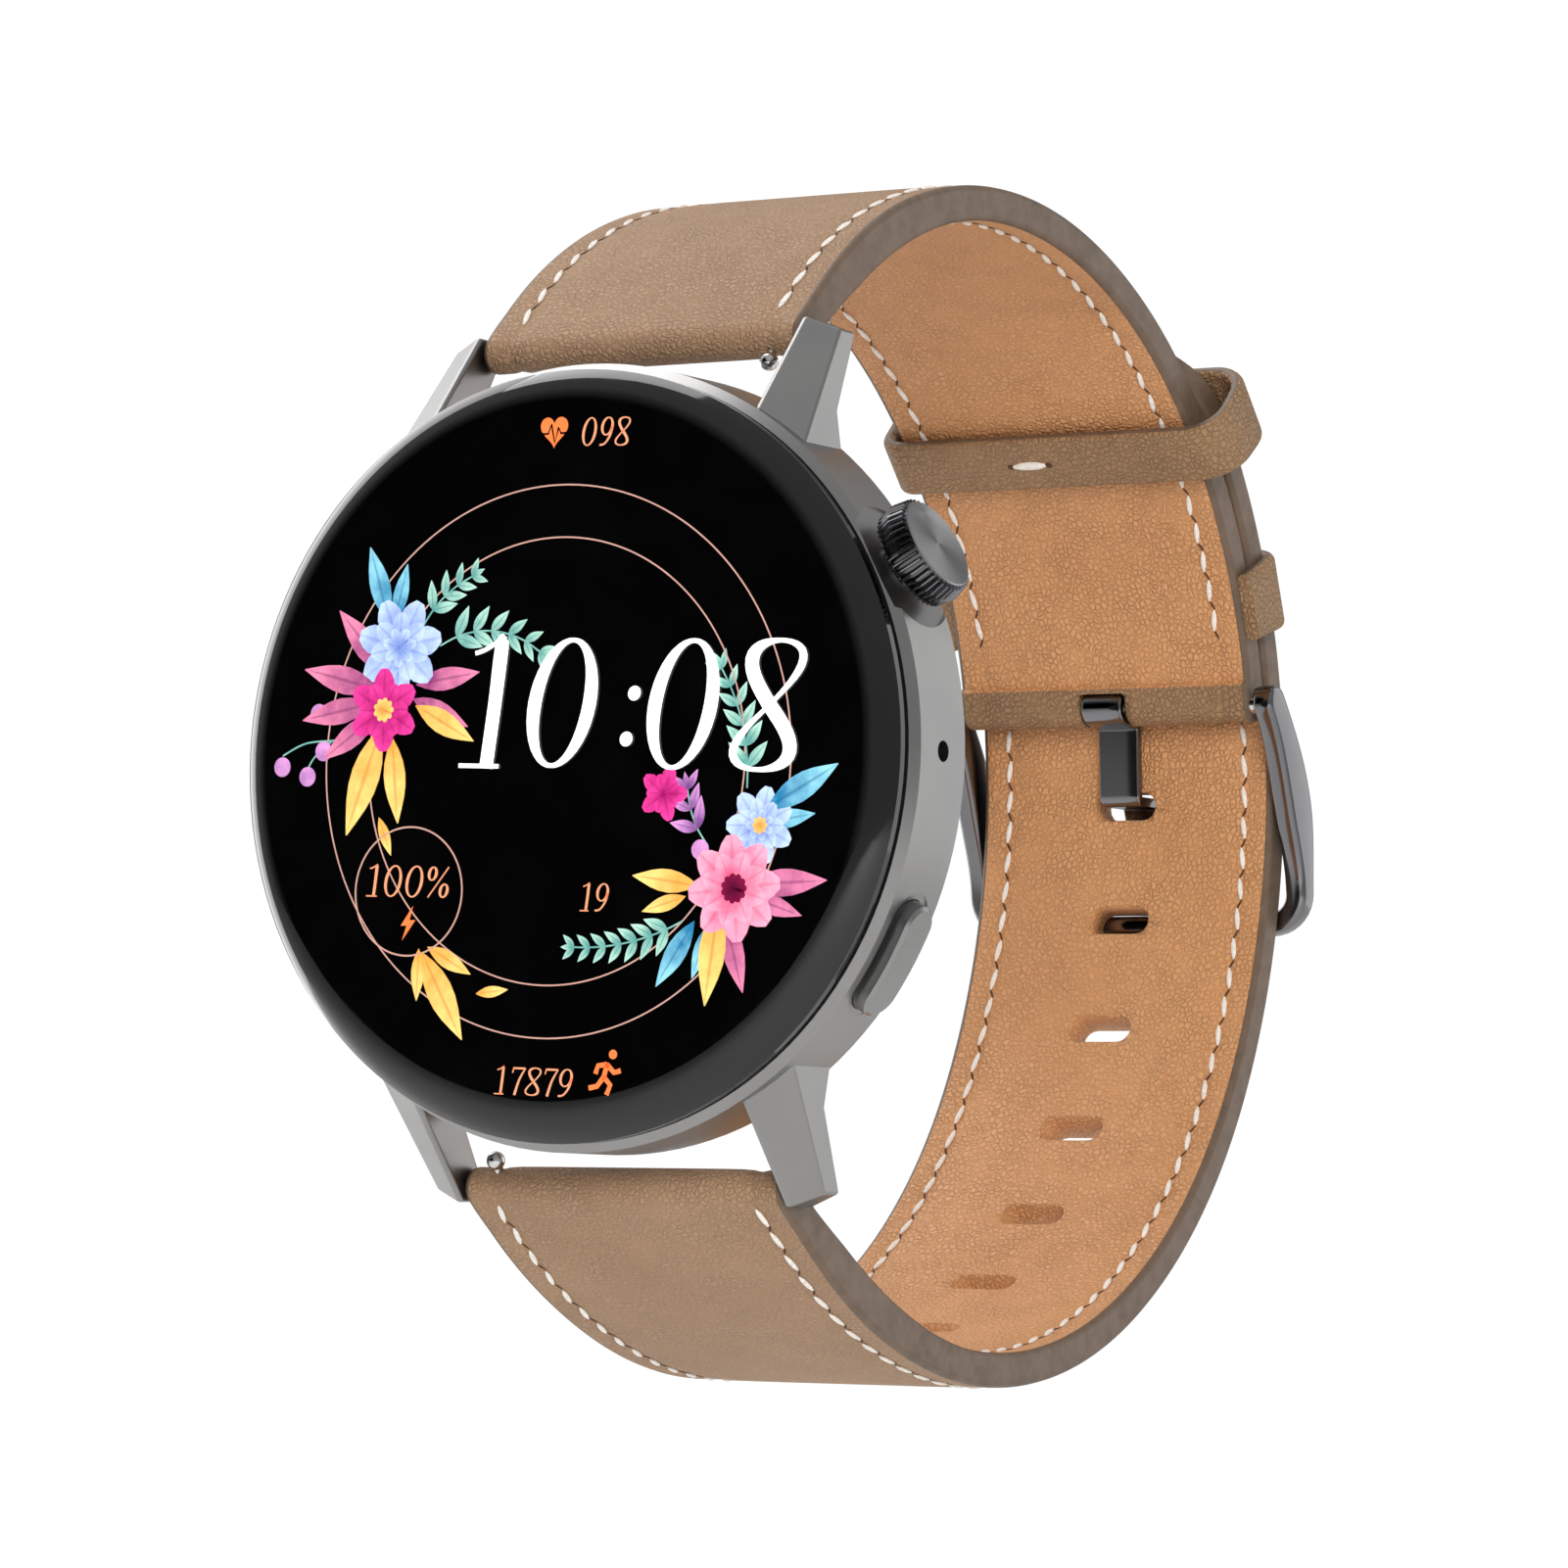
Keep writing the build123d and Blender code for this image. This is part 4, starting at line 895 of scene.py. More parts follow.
def stitch_seats(shift, lift):
    """Seats on every row; shift moves them part of a pitch and lift raises them from the leather."""
    seats = []
    for line, first, last, side, face in stitch_rows():
        length = upper_length if line is upper_line else lower_length
        count = int((last - first) / stitch_pitch)
        for index in range(count + 1):
            distance = first + (index + shift) * stitch_pitch
            reach = half_width_at(distance, length, line is lower_line) - stitch_inset
            roll_swell = (roll_radius - half_thickness) * (1 - eased(distance / 3))
            surface = half_thickness - stitch_sink + lift + roll_swell
            if face < 0:
                surface += padding(distance)
            along, out = line_axes(line, distance)
            lean = radians(stitch_tilt if shift == 0 else crossing_tilt) * side * face
            along = along * cos(lean) + Vector((sin(lean), 0, 0))
            seats.append((on_line(line, distance, face * surface, side * reach), along, out * face, 1.0))
    return seats


def stitching():
    thread_bit, dent = thread_unit("thread_bit"), bead_unit("dent")
    sizes = (stitch_length, stitch_width, stitch_height)
    sewn = repeated("strap_stitches", stitch_seats(0, 0.09), thread_bit, thread, *sizes)
    # Painted shade: dark beads halfway between stitches stand for the shade in the stitch holes.
    holes = repeated("strap_pricks", stitch_seats(0.5, 0.0), dent, prick, 0.8, 0.18, 0.14)
    discard(thread_bit)
    discard(dent)
    return sewn, holes


# ---- keepers ----
def keeper_path(left, right, low, high, corner_left, corner_right, steps=9):
    """A closed loop round the strap in (x, radius), from the lower right: places and outward directions."""
    path = []
    corners = ((right, low, corner_right, -90), (right, high, corner_right, 0))
    corners += ((left, high, corner_left, 90), (left, low, corner_left, 180))
    for x, radius, corner, start in corners:
        sign_x, sign_r = (1 if x == right else -1), (1 if radius == high else -1)
        middle = (x - sign_x * corner, radius - sign_r * corner)
        for step in range(steps + 1):
            turn = radians(start + 90 * step / steps)
            place = (middle[0] + corner * cos(turn), middle[1] + corner * sin(turn))
            path.append((*place, cos(turn), sin(turn)))
    fine = []
    for i, here in enumerate(path):
        there = path[(i + 1) % len(path)]
        gap = hypot(there[0] - here[0], there[1] - here[1])
        pieces = max(1, int(gap / 0.8))
        fine += [tuple(a + (b - a) * n / pieces for a, b in zip(here, there)) for n in range(pieces)]
    return fine


def keeper_mesh(name, angle, width, path, closed, finish_main):
    """A leather strip bent along a path, its section slightly pillowed."""
    section = rounded_outline(width / 2, keeper_thickness / 2, 0.4, 4)
    points, uvs, run = [], [], 0.0
    for index, (x, radius, out_x, out_r) in enumerate(path):
        before = path[index - 1] if index else path[0]
        run += hypot(x - before[0], radius - before[1])
        for a, b in section:
            pillow = 0.14 * cos(pi * a / width) if b > 0 else 0.0
            reach = b + pillow
            turn = angle + degrees(a / upper_loop_radius)
            points.append(at(*polar(upper_centre, radius + out_r * reach, turn), x + out_x * reach))
            uvs.append((run / 10, a / 10))
    faces = tube_faces(len(path), len(section), closed)
    ends = [abs(a) > width / 2 - 0.08 for a, _ in section]
    rims = [end and ends[(j + 1) % len(section)] for j, end in enumerate(ends)]
    walls = len(path) * len(section)
    paints = [1 if i < walls and rims[i % len(section)] else 0 for i in range(len(faces))]
    return outward(mesh_piece(name, points, faces, (finish_main, edge_paint), paints, uvs, sharp=60))


def free_keeper():
    reach = strap_width / 2 + keeper_clearance + keeper_thickness / 2
    low = upper_loop_radius - half_thickness - keeper_clearance - keeper_thickness / 2
    high = tail_radius + half_thickness + keeper_clearance + keeper_thickness / 2
    path = keeper_path(-reach, reach + keeper_slack, low, high, 1.2, 2.3)
    return keeper_mesh("loose_keeper", free_keeper_angle, free_keeper_width, path, True, keeper_leather)


def fixed_keeper():
    reach = strap_width / 2 + keeper_thickness / 2
    high = tail_radius + half_thickness + keeper_clearance + keeper_thickness / 2
    path = keeper_path(-reach, reach, upper_loop_radius - 3, high, 1.5, 1.6)
    low = upper_loop_radius - half_thickness
    start = next(i for i, place in enumerate(path) if place[0] > reach - 0.01 and place[1] > low)
    kept = [place for place in path[start:] + path[:start] if place[1] > low]
    name = "fixed_keeper_band"
    return keeper_mesh(name, fixed_keeper_angle, fixed_keeper_width, kept, False, keeper_leather)


def keeper_stitch():
    """The one stitch that closes the loose keeper, on the wrist side, with dark beads painted as shade at
    its two holes.
    """
    radius = upper_loop_radius - half_thickness - keeper_clearance - keeper_thickness - 0.07
    into = Vector((0, -cos(radians(free_keeper_angle)), -sin(radians(free_keeper_angle))))
    middle = at(*polar(upper_centre, radius, free_keeper_angle), -1.0)
    thread_bit, dent = thread_unit("thread_bit"), bead_unit("dent")
    stitch = repeated("keeper_stitch", [(middle, (1, 0, 0), into, 1.0)], thread_bit, thread, 2.5, 0.62, 0.4)
    ends = []
    for side in (-1, 1):
        place = middle + Vector((side * 1.35 * MM, 0, 0)) - into * 0.02 * MM
        ends.append((place, (1, 0, 0), into, 1.0))
    # Painted shade: a dark bead at each end of the stitch stands for the shade in its hole.
    holes = repeated("keeper_pricks", ends, dent, prick, 0.6, 0.45, 0.25)
    discard(thread_bit)
    discard(dent)
    return stitch, holes


# ---- buckle ----
def swept(name, stations, section_of, paint, sharp=35):
    """A bar through stations (place, side direction, up direction); section_of gives each one's outline."""
    points, around = [], len(section_of(0))
    for index, (place, side, up) in enumerate(stations):
        points += [place + side * a * MM + up * b * MM for a, b in section_of(index)]
    faces = tube_faces(len(stations), around, False)
    return outward(mesh_piece(name, points, faces, (paint,), sharp=sharp))


def circle_through(a, b, c):
    """Centre and radius of the circle through three points in (depth, height)."""
    d = 2 * (a[0] * (b[1] - c[1]) + b[0] * (c[1] - a[1]) + c[0] * (a[1] - b[1]))
    squares = [p[0] ** 2 + p[1] ** 2 for p in (a, b, c)]
    x = (squares[0] * (b[1] - c[1]) + squares[1] * (c[1] - a[1]) + squares[2] * (a[1] - b[1])) / d
    y = (squares[0] * (c[0] - b[0]) + squares[1] * (a[0] - c[0]) + squares[2] * (b[0] - a[0])) / d
    return (x, y), hypot(a[0] - x, a[1] - y)


def arm_width_at(share):
    """A buckle arm's width: widest at its belly, slimmer towards the cross bar."""
    belly = buckle_root_width + (buckle_belly_width - buckle_root_width) * eased(share / 0.5)
    return belly + (1.15 * buckle_wire - buckle_belly_width) * eased((share - 0.55) / 0.45)


def buckle_frame():
    """One bar bent into a D: up one bowed arm, across under the tongue and back up the other."""
    centre, radius = circle_through(pivot, buckle_bow, cross_bar)
    first, last = angle_between(centre, pivot), angle_between(centre, cross_bar)
    outer = strap_width / 2 + buckle_side_gap + buckle_arm_thickness / 2
    corner, arm_steps, corner_steps = 2.0, 26, 9
    corner_angle = last + degrees(corner / radius)
    stations = []
    cap = buckle_root_width / 2
    for side in (1, -1):
        arm = []
        for step in range(8):
            turn = radians(90 * step / 7)
            back = cap * cos(turn)
            arm.append((first + degrees(back / radius), 0, 0, max(2 * cap * sin(turn), 0.25)))
        for step in range(1, arm_steps + 1):
            share = step / arm_steps
            arm.append((first + (corner_angle - first) * share, 0, 0, arm_width_at(share)))
        for step in range(1, corner_steps + 1):
            turn = radians(90 * step / corner_steps)
            drop = degrees(corner * sin(turn) / radius)
            width = arm_width_at(1) + (buckle_wire - arm_width_at(1)) * step / corner_steps
            arm.append((corner_angle - drop, corner * (1 - cos(turn)), turn, width))
        stations.append(arm if side > 0 else list(reversed(arm)))
    path = []
    for side, arm in zip((1, -1), stations):
        for angle, inward, turn, width in arm:
            out = Vector((0, cos(radians(angle)), sin(radians(angle))))
            down = Vector((0, out.z, -out.y))
            side_way = Vector((side * cos(turn), 0, 0)) + down * sin(turn)
            place = at(*polar(centre, radius, angle), side * (outer - inward))
            path.append((place, side_way, out, width))
        if side > 0:
            place, side_way, out, width = path[-1]
            span = 2 * (outer - corner)
            for step in range(1, 24):
                share = step / 24
                near = max(0.0, 1 - abs(span * (share - 0.5)) / 2.2)
                here = place + Vector((-span * share * MM, 0, 0))
                dip = 0.28 * eased(near * 2.5)
                path.append((here - out * dip / 2 * MM, side_way, out, width - dip))
    outlines = [rounded_outline(w[3] / 2, buckle_arm_thickness / 2, 0.42, 4) for w in path]
    places = [(place, out, side_way) for place, side_way, out, _ in path]
    return swept("buckle_loop", places, lambda index: outlines[index], polished_gunmetal)


def smooth_path(points, radius, steps=6):
    """A line through points in (depth, height) with each corner rounded by an arc."""
    path = [points[0]]
    for before, corner, after in zip(points, points[1:], points[2:]):
        a = Vector(before) - Vector(corner)
        b = Vector(after) - Vector(corner)
        half = a.angle(b) / 2
        reach = min(radius / abs(sin(half)) * cos(half), a.length * 0.49, b.length * 0.49)
        start, end = Vector(corner) + a.normalized() * reach, Vector(corner) + b.normalized() * reach
        for step in range(steps + 1):
            share = step / steps
            p = start.lerp(Vector(corner), share).lerp(Vector(corner).lerp(end, share), share)
            path.append((p.x, p.y))
    return path + [points[-1]]


def buckle_tongue():
    """A flat strip curled round the bar, stepped out through the hole to rest on the cross bar."""
    curl = [polar(pivot, tongue_curl_radius, angle) for angle in range(25, 263, 12)]
    height = tongue_hole_height + tongue_hole_play
    neck = pivot[0] + tongue_neck_reach
    strip_x = cross_bar[0] + tongue_step + tongue_thickness / 2 + 0.05
    rest = [(neck, pivot[1] - tongue_neck_drop), (neck + 0.3, height)]
    rest += [(strip_x - 0.5, height), (strip_x, height - 1.2), (strip_x, cross_bar[1] - tongue_tip)]
    path = curl + smooth_path([curl[-1]] + rest, 0.42)[1:]
    stations = []
    for index, here in enumerate(path):
        before, after = path[max(index - 1, 0)], path[min(index + 1, len(path) - 1)]
        run = Vector((0, after[0] - before[0], after[1] - before[1])).normalized()
        stations.append((at(*here), Vector((1, 0, 0)), Vector((0, -run.z, run.y))))
    section = rounded_outline(tongue_width / 2, tongue_thickness / 2, 0.16, 3)
    return swept("buckle_prong", stations, lambda index: section, polished_gunmetal, sharp=30)


def bar_collars():
    """A small bead on the buckle's bar at each arm."""
    collars = []
    reach = strap_width / 2 + buckle_side_gap
    for name, side in (("collar_right", 1), ("collar_left", -1)):
        rings = [(0.05, 0.45), (0.05, 0.62), (0.12, 0.69), (0.5, 0.69), (0.58, 0.62), (0.58, 0.45)]
        points = []
        for run, radius in rings:
            circle = [polar(pivot, radius, 15 * step) for step in range(24)]
            points += [at(depth, height, side * (reach + 0.1 - run)) for depth, height in circle]
        faces = tube_faces(len(rings), 24, False)
        collars.append(outward(mesh_piece(name, points, faces, (bright_steel,))))
    return collars


# ---- crown ----
crown_out = Vector((cos(radians(crown_angle)), 0, sin(radians(crown_angle))))
crown_side = Vector((0, 1, 0))
crown_across = crown_out.cross(crown_side)
crown_middle = Vector((0, glass_front + crown_depth * MM, 0))


def crown_place(reach, radius, angle):
    spread_out = crown_side * cos(radians(angle)) + crown_across * sin(radians(angle))
    return crown_middle + crown_out * reach * MM + spread_out * radius * MM


def crown_drum():
    """The turned body: a drum with a flat, radially brushed face that carries painted highlight wedges."""
    base = crown_face - crown_height
    middle = base + crown_height * 0.5
    profile = [(base + 0.5, 0.0), (base + 0.5, 1.75), (base, 1.8), (base, 2.45), (base + 0.1, 2.62)]
    profile += [(middle, crown_radius - 0.26), (crown_face - 0.2, 2.72), (crown_face - 0.06, 2.72)]
    profile += [(crown_face, 2.64), (crown_face, 1.3), (crown_face, 0.0)]
    around, points, uvs, faces, paints = 132, [], [], [], []
    for reach, radius in profile:
        for step in range(around):
            angle = 360 * step / around
            points.append(crown_place(reach, max(radius, 0.002), angle))
            uvs.append((step / around, radius / 3))
    for row in range(len(profile) - 1):
        for step in range(around):
            k = (step + 1) % around
            a, b = row * around, (row + 1) * around
            faces.append((a + step, a + k, b + k, b + step))
            paints.append(1 if row >= len(profile) - 4 else 0)
    faces += [tuple(range(around)), tuple(range(len(points) - around, len(points)))]
    paints += [0, 1]
    return outward(mesh_piece("crown_drum", points, faces, (gunmetal, crown_brush), paints, uvs, sharp=28))


def tooth_unit():
    """One knurl tooth: a ridge bent outwards at its middle, one long, one wide and one high."""
    points = []
    for run, foot, ridge in ((-0.5, -0.6, 0.45), (0.0, -0.2, 1.0), (0.5, -0.6, 0.45)):
        points += [(run, -0.5, foot), (run, -0.14, ridge), (run, 0.14, ridge), (run, 0.5, foot)]
    return outward(mesh_piece("tooth_unit", points, tube_faces(3, 4, False), []))


def crown_teeth_ring():
    middle = crown_face - crown_height / 2 - 0.05
    seats = []
    for index in range(crown_teeth):
        angle = 360 * index / crown_teeth
        foot, top = crown_place(middle, crown_radius - 0.3, angle), crown_place(middle, crown_radius, angle)
        seats.append((foot, crown_out, (top - foot).normalized(), 1.0))
    unit = tooth_unit()
    ring = repeated("crown_knurl", seats, unit, polished_gunmetal, crown_height - 0.3, 0.3, 0.34)
    discard(unit)
    return ring


def brushed_face():
    """Radial brushing on the crown's face: fine spokes from the UV's angle, with anisotropic gloss, and two
    broad bright wedges painted in as highlight.
    """
    material = metal("crown_brush", tint(150, 149, 150), tint(118, 117, 118), 0.3, 0.25, 40.0, 0.0)
    tree = material.node_tree
    shader = tree.nodes["Principled BSDF"]
    place, apart = tree.nodes.new("ShaderNodeTexCoord"), tree.nodes.new("ShaderNodeSeparateXYZ")
    tree.links.new(place.outputs["UV"], apart.inputs[0])
    spokes = tree.nodes.new("ShaderNodeTexNoise")
    spokes.noise_dimensions = "1D"
    tree.links.new(apart.outputs["X"], spokes.inputs["W"])
    spokes.inputs["Scale"].default_value = 190.0
    # Painted highlight: the colour lightens in two broad wedges around the face, as the brushing's sheen
    # would look.
    painted_highlight_wedges = maths(tree, "SINE", maths(tree, "MULTIPLY", apart.outputs["X"], 4 * pi))
    spoke = spread(tree, spokes.outputs["Fac"], 0.3, 0.7)
    light = mixed(tree, spoke, tint(112, 111, 113), tint(146, 145, 147))
    toned = mixed(tree, spread(tree, painted_highlight_wedges, -1.0, 1.0, 0.0, 0.75), light, tint(205, 204, 205))
    tree.links.new(toned, shader.inputs["Base Color"])
    shader.inputs["Anisotropic"].default_value = 0.6
    return material


crown_brush = brushed_face()


# ---- dial ----
def on_dial(x, z, lift=0.0):
    return Vector((x * MM, glass_front - lift * MM, z * MM))


def ribbon(points, faces, places, widths, lift, closed=False, thickness=0.012):
    """Adds a flat closed stroke through places, with a width at each, to a mesh in the making."""
    start, count = len(points), len(places)
    for i, (x, z) in enumerate(places):
        ahead = places[(i + 1) % count] if closed or i < count - 1 else places[i]
        behind = places[i - 1] if closed or i else places[i]
        run = Vector((ahead[0] - behind[0], ahead[1] - behind[1])).normalized()
        off = Vector((-run.y, run.x)) * widths[i] / 2
        for side, level in ((1, 0), (1, 1), (-1, 1), (-1, 0)):
            points.append(on_dial(x + side * off.x, z + side * off.y, lift + level * thickness))
    faces += [tuple(start + v for v in face) for face in tube_faces(count, 4, closed)]


def flat_piece(name, points, faces, paint, wash_at=(0, 0.5)):
    """A flat painted piece that takes one place of the wash all over."""
    return outward(mesh_piece(name, points, faces, (paint,), uvs=[wash_at] * len(points)))


def ring_places(centre, half_x, half_z, steps=40):
    turns = [2 * pi * i / steps for i in range(steps)]
    return [(centre[0] + half_x * cos(t), centre[1] + half_z * sin(t)) for t in turns], turns


def bend(points, steps=7):
    """A smooth line through a few points."""
    path = []
    ends = [points[0]] + list(points) + [points[-1]]
    for a, b, c, d in zip(ends, ends[1:], ends[2:], ends[3:]):
        for step in range(steps):
            t = step / steps
            path.append(tuple(
                0.5 * (2 * b[n] + (c[n] - a[n]) * t + (2 * a[n] - 5 * b[n] + 4 * c[n] - d[n]) * t * t
                       + (3 * b[n] - a[n] - 3 * c[n] + d[n]) * t ** 3) for n in range(len(b))))
    return path + [tuple(points[-1])]


def glyph_strokes(sign, thick, thin):
    """Pen strokes of a figure one high: rings as (centre, half sizes), lines as (x, z, width) points."""
    rings = {
        "0": [((0.30, 0.5), 0.245, 0.475)], "9": [((0.29, 0.68), 0.21, 0.3)],
        "%": [((0.15, 0.76), 0.12, 0.2), ((0.62, 0.24), 0.12, 0.2)],
    }
    lines = {
        "1": [[(0.252, 0.0, thick), (0.228, 0.5, thick), (0.2, 0.93, thick), (0.215, 1.0, thin)],
              [(-0.03, 0.87, thin), (0.06, 0.9, thin), (0.2, 0.985, thin)],
              [(0.0, 0.015, thin), (0.364, 0.015, thin)]],
        "7": [[(0.06, 0.95, thick * 0.7), (0.52, 0.95, thick * 0.7)],
              [(0.53, 0.96, thin), (0.36, 0.55, thick * 0.8), (0.27, 0.0, thick)],
              [(0.07, 0.97, thin), (0.05, 0.78, thin)]],
        "8": [eight_stroke(thick, thin)],
        "9": [[(0.5, 0.66, thick), (0.46, 0.34, thick * 0.8),
               (0.3, 0.08, thin * 1.4), (0.1, 0.03, thin * 1.6)]],
        "%": [[(0.66, 0.98, thin), (0.12, 0.02, thin)]],
    }
    return rings.get(sign, []), lines.get(sign, [])


def eight_stroke(thick, thin, steps=56):
    """A figure eight drawn in one line, heavy on the diagonal."""
    stroke = []
    for step in range(steps + 1):
        t = 2 * pi * step / steps
        reach = 0.22 if cos(t) > 0 else 0.245
        share = min(1.0, max(0.0, -sin(t)) ** 1.3 + 0.4 * sin(2 * t) ** 2)
        stroke.append((0.326 + reach * sin(2 * t), 0.5 + 0.48 * cos(t), thin + (thick - thin) * share))
    return stroke


advance = {"1": 0.535, "0": 0.728, "8": 0.68, "7": 0.6, "9": 0.66, "%": 0.8, ":": 0.345}
slant = 0.19
dial_slope = -0.035


def figures(name, text, x, z, height, thick, thin, paint, lift, squeeze=1.0):
    """Leaning figures in thick and thin strokes, as one flat piece."""
    points, faces = [], []
    pen = 0.0

    def put(u, v):
        reach = (pen + u * squeeze + slant * v) * height
        return x + reach, z + v * height + dial_slope * reach

    for sign in text:
        if sign == ":":
            for level in (0.234, 0.578):
                places, _ = ring_places((0.2, level), 0.028, 0.028, 16)
                ribbon(points, faces, [put(*p) for p in places], [0.056 * height] * 16, lift, True)
        ring_set, line_set = glyph_strokes(sign, thick, thin)
        for centre, half_x, half_z in ring_set:
            places, turns = ring_places(centre, half_x, half_z)
            widths = [height * (thin + (thick - thin) * abs(cos(t)) ** 1.5) for t in turns]
            ribbon(points, faces, [put(*p) for p in places], widths, lift, True)
        for line in line_set:
            path = bend(line) if 2 < len(line) < 9 else line
            ribbon(points, faces, [put(p[0], p[1]) for p in path], [p[2] * height for p in path], lift)
        pen += advance[sign] * squeeze
    return flat_piece(name, points, faces, paint)


def dial_rings():
    points, faces = [], []
    for radius in (15.75, 12.75):
        places, _ = ring_places((-0.03, -0.4), radius, radius, 160)
        ribbon(points, faces, places, [0.09] * 160, 0.004, True)
    places, _ = ring_places((-9.8, -7.7), 3.7, 3.7, 90)
    ribbon(points, faces, places, [0.1] * 90, 0.03, True)
    return flat_piece("dial_rings", points, faces, dial_line, (0.5, 0.5))


def filled(name, outline, lift, paint):
    """A flat filled shape."""
    count = len(outline)
    points = [on_dial(*p, lift + level * 0.012) for level in (0, 1) for p in outline]
    return flat_piece(name, points, tube_faces(2, count, False), paint)


def dial_icons():
    """A heart with a pulse line, a charging bolt and a walker."""
    heart = []
    for step in range(48):
        t = 2 * pi * step / 48
        side = 16 * sin(t) ** 3
        rise = 13 * cos(t) - 5 * cos(2 * t) - 2 * cos(3 * t) - cos(4 * t)
        heart.append((-0.45 + side * 0.058, 18.5 + rise * 0.062))
    bolt = [(-9.0, -8.5), (-10.1, -10.1), (-9.55, -10.1), (-9.95, -11.3), (-8.75, -9.65), (-9.3, -9.65)]
    pieces = [filled("heart_icon", heart, 0.03, dial_orange)]
    bolt = [(x * 0.75 - 2.7, z * 0.7 - 2.6) for x, z in bolt]
    pieces.append(filled("charge_icon", bolt, 0.045, dial_orange))
    points, faces = [], []
    pulse = [(-1.4, 18.3), (-0.85, 18.3), (-0.65, 18.85), (-0.4, 17.75)]
    pulse += [(-0.15, 18.65), (0, 18.3), (0.5, 18.3)]
    ribbon(points, faces, pulse, [0.13] * len(pulse), 0.044)
    pieces.append(flat_piece("pulse_line", points, faces, dial_black))
    points, faces = [], []
    limbs = ([(3.75, -17.35), (3.45, -18.45)], [(3.45, -18.45), (4.0, -19.1), (3.7, -19.9)])
    limbs += ([(3.45, -18.45), (2.9, -19.2), (2.2, -19.35)], [(3.7, -17.45), (4.3, -18.1), (4.85, -17.95)])
    limbs += ([(3.7, -17.45), (2.95, -17.55), (2.75, -18.2)],)
    for limb in limbs:
        ribbon(points, faces, [(0.8 * x + 1.05, 0.7 * z - 5.4) for x, z in limb], [0.3] * len(limb), 0.03)
    places, _ = ring_places((4.4, -17.05), 0.13, 0.13, 14)
    ribbon(points, faces, places, [0.28] * 14, 0.03, True)
    pieces.append(flat_piece("walker_icon", points, faces, dial_orange))
    return pieces


def dial_seat(x, z, angle, size, lift):
    way = (cos(radians(angle)), 0, sin(radians(angle)))
    return on_dial(x, z, lift), way, (0, -1, 0), size


def spray(x, z, angle, turn, pairs, leaf, lift):
    """Leaves in pairs along a stalk that starts at x, z and curves by turn degrees per pair."""
    seats, stalk = [], [(x, z)]
    for index in range(pairs):
        angle += turn
        x, z = x + cos(radians(angle)) * leaf * 0.62, z + sin(radians(angle)) * leaf * 0.62
        stalk.append((x, z))
        size = leaf * (1 - 0.45 * index / pairs)
        for side in (1, -1):
            seats.append(dial_seat(x, z, angle + side * 42, size, lift))
    seats.append(dial_seat(x, z, angle, leaf * 0.55, lift))
    return seats, stalk


def petals(x, z, radius, count, layers, lift, start=0.0):
    """Petals in rings, the inner rings smaller and turned by half a petal."""
    seats = []
    for layer in range(layers):
        size = radius * (1 - 0.3 * layer)
        for index in range(count):
            angle = start + 360 * (index + 0.5 * layer) / count
            seats.append(dial_seat(x, z, angle, size, lift + 0.009 * layer + 0.0015 * (index % 2)))
    return seats


def leaf_shape(run):
    return 0.19 * sin(pi * run ** 0.8)


def long_leaf_shape(run):
    return 0.15 * sin(pi * run ** 0.9)


def petal_shape(run):
    return 0.3 * sin(pi * (0.06 + 0.86 * run) ** 1.35)


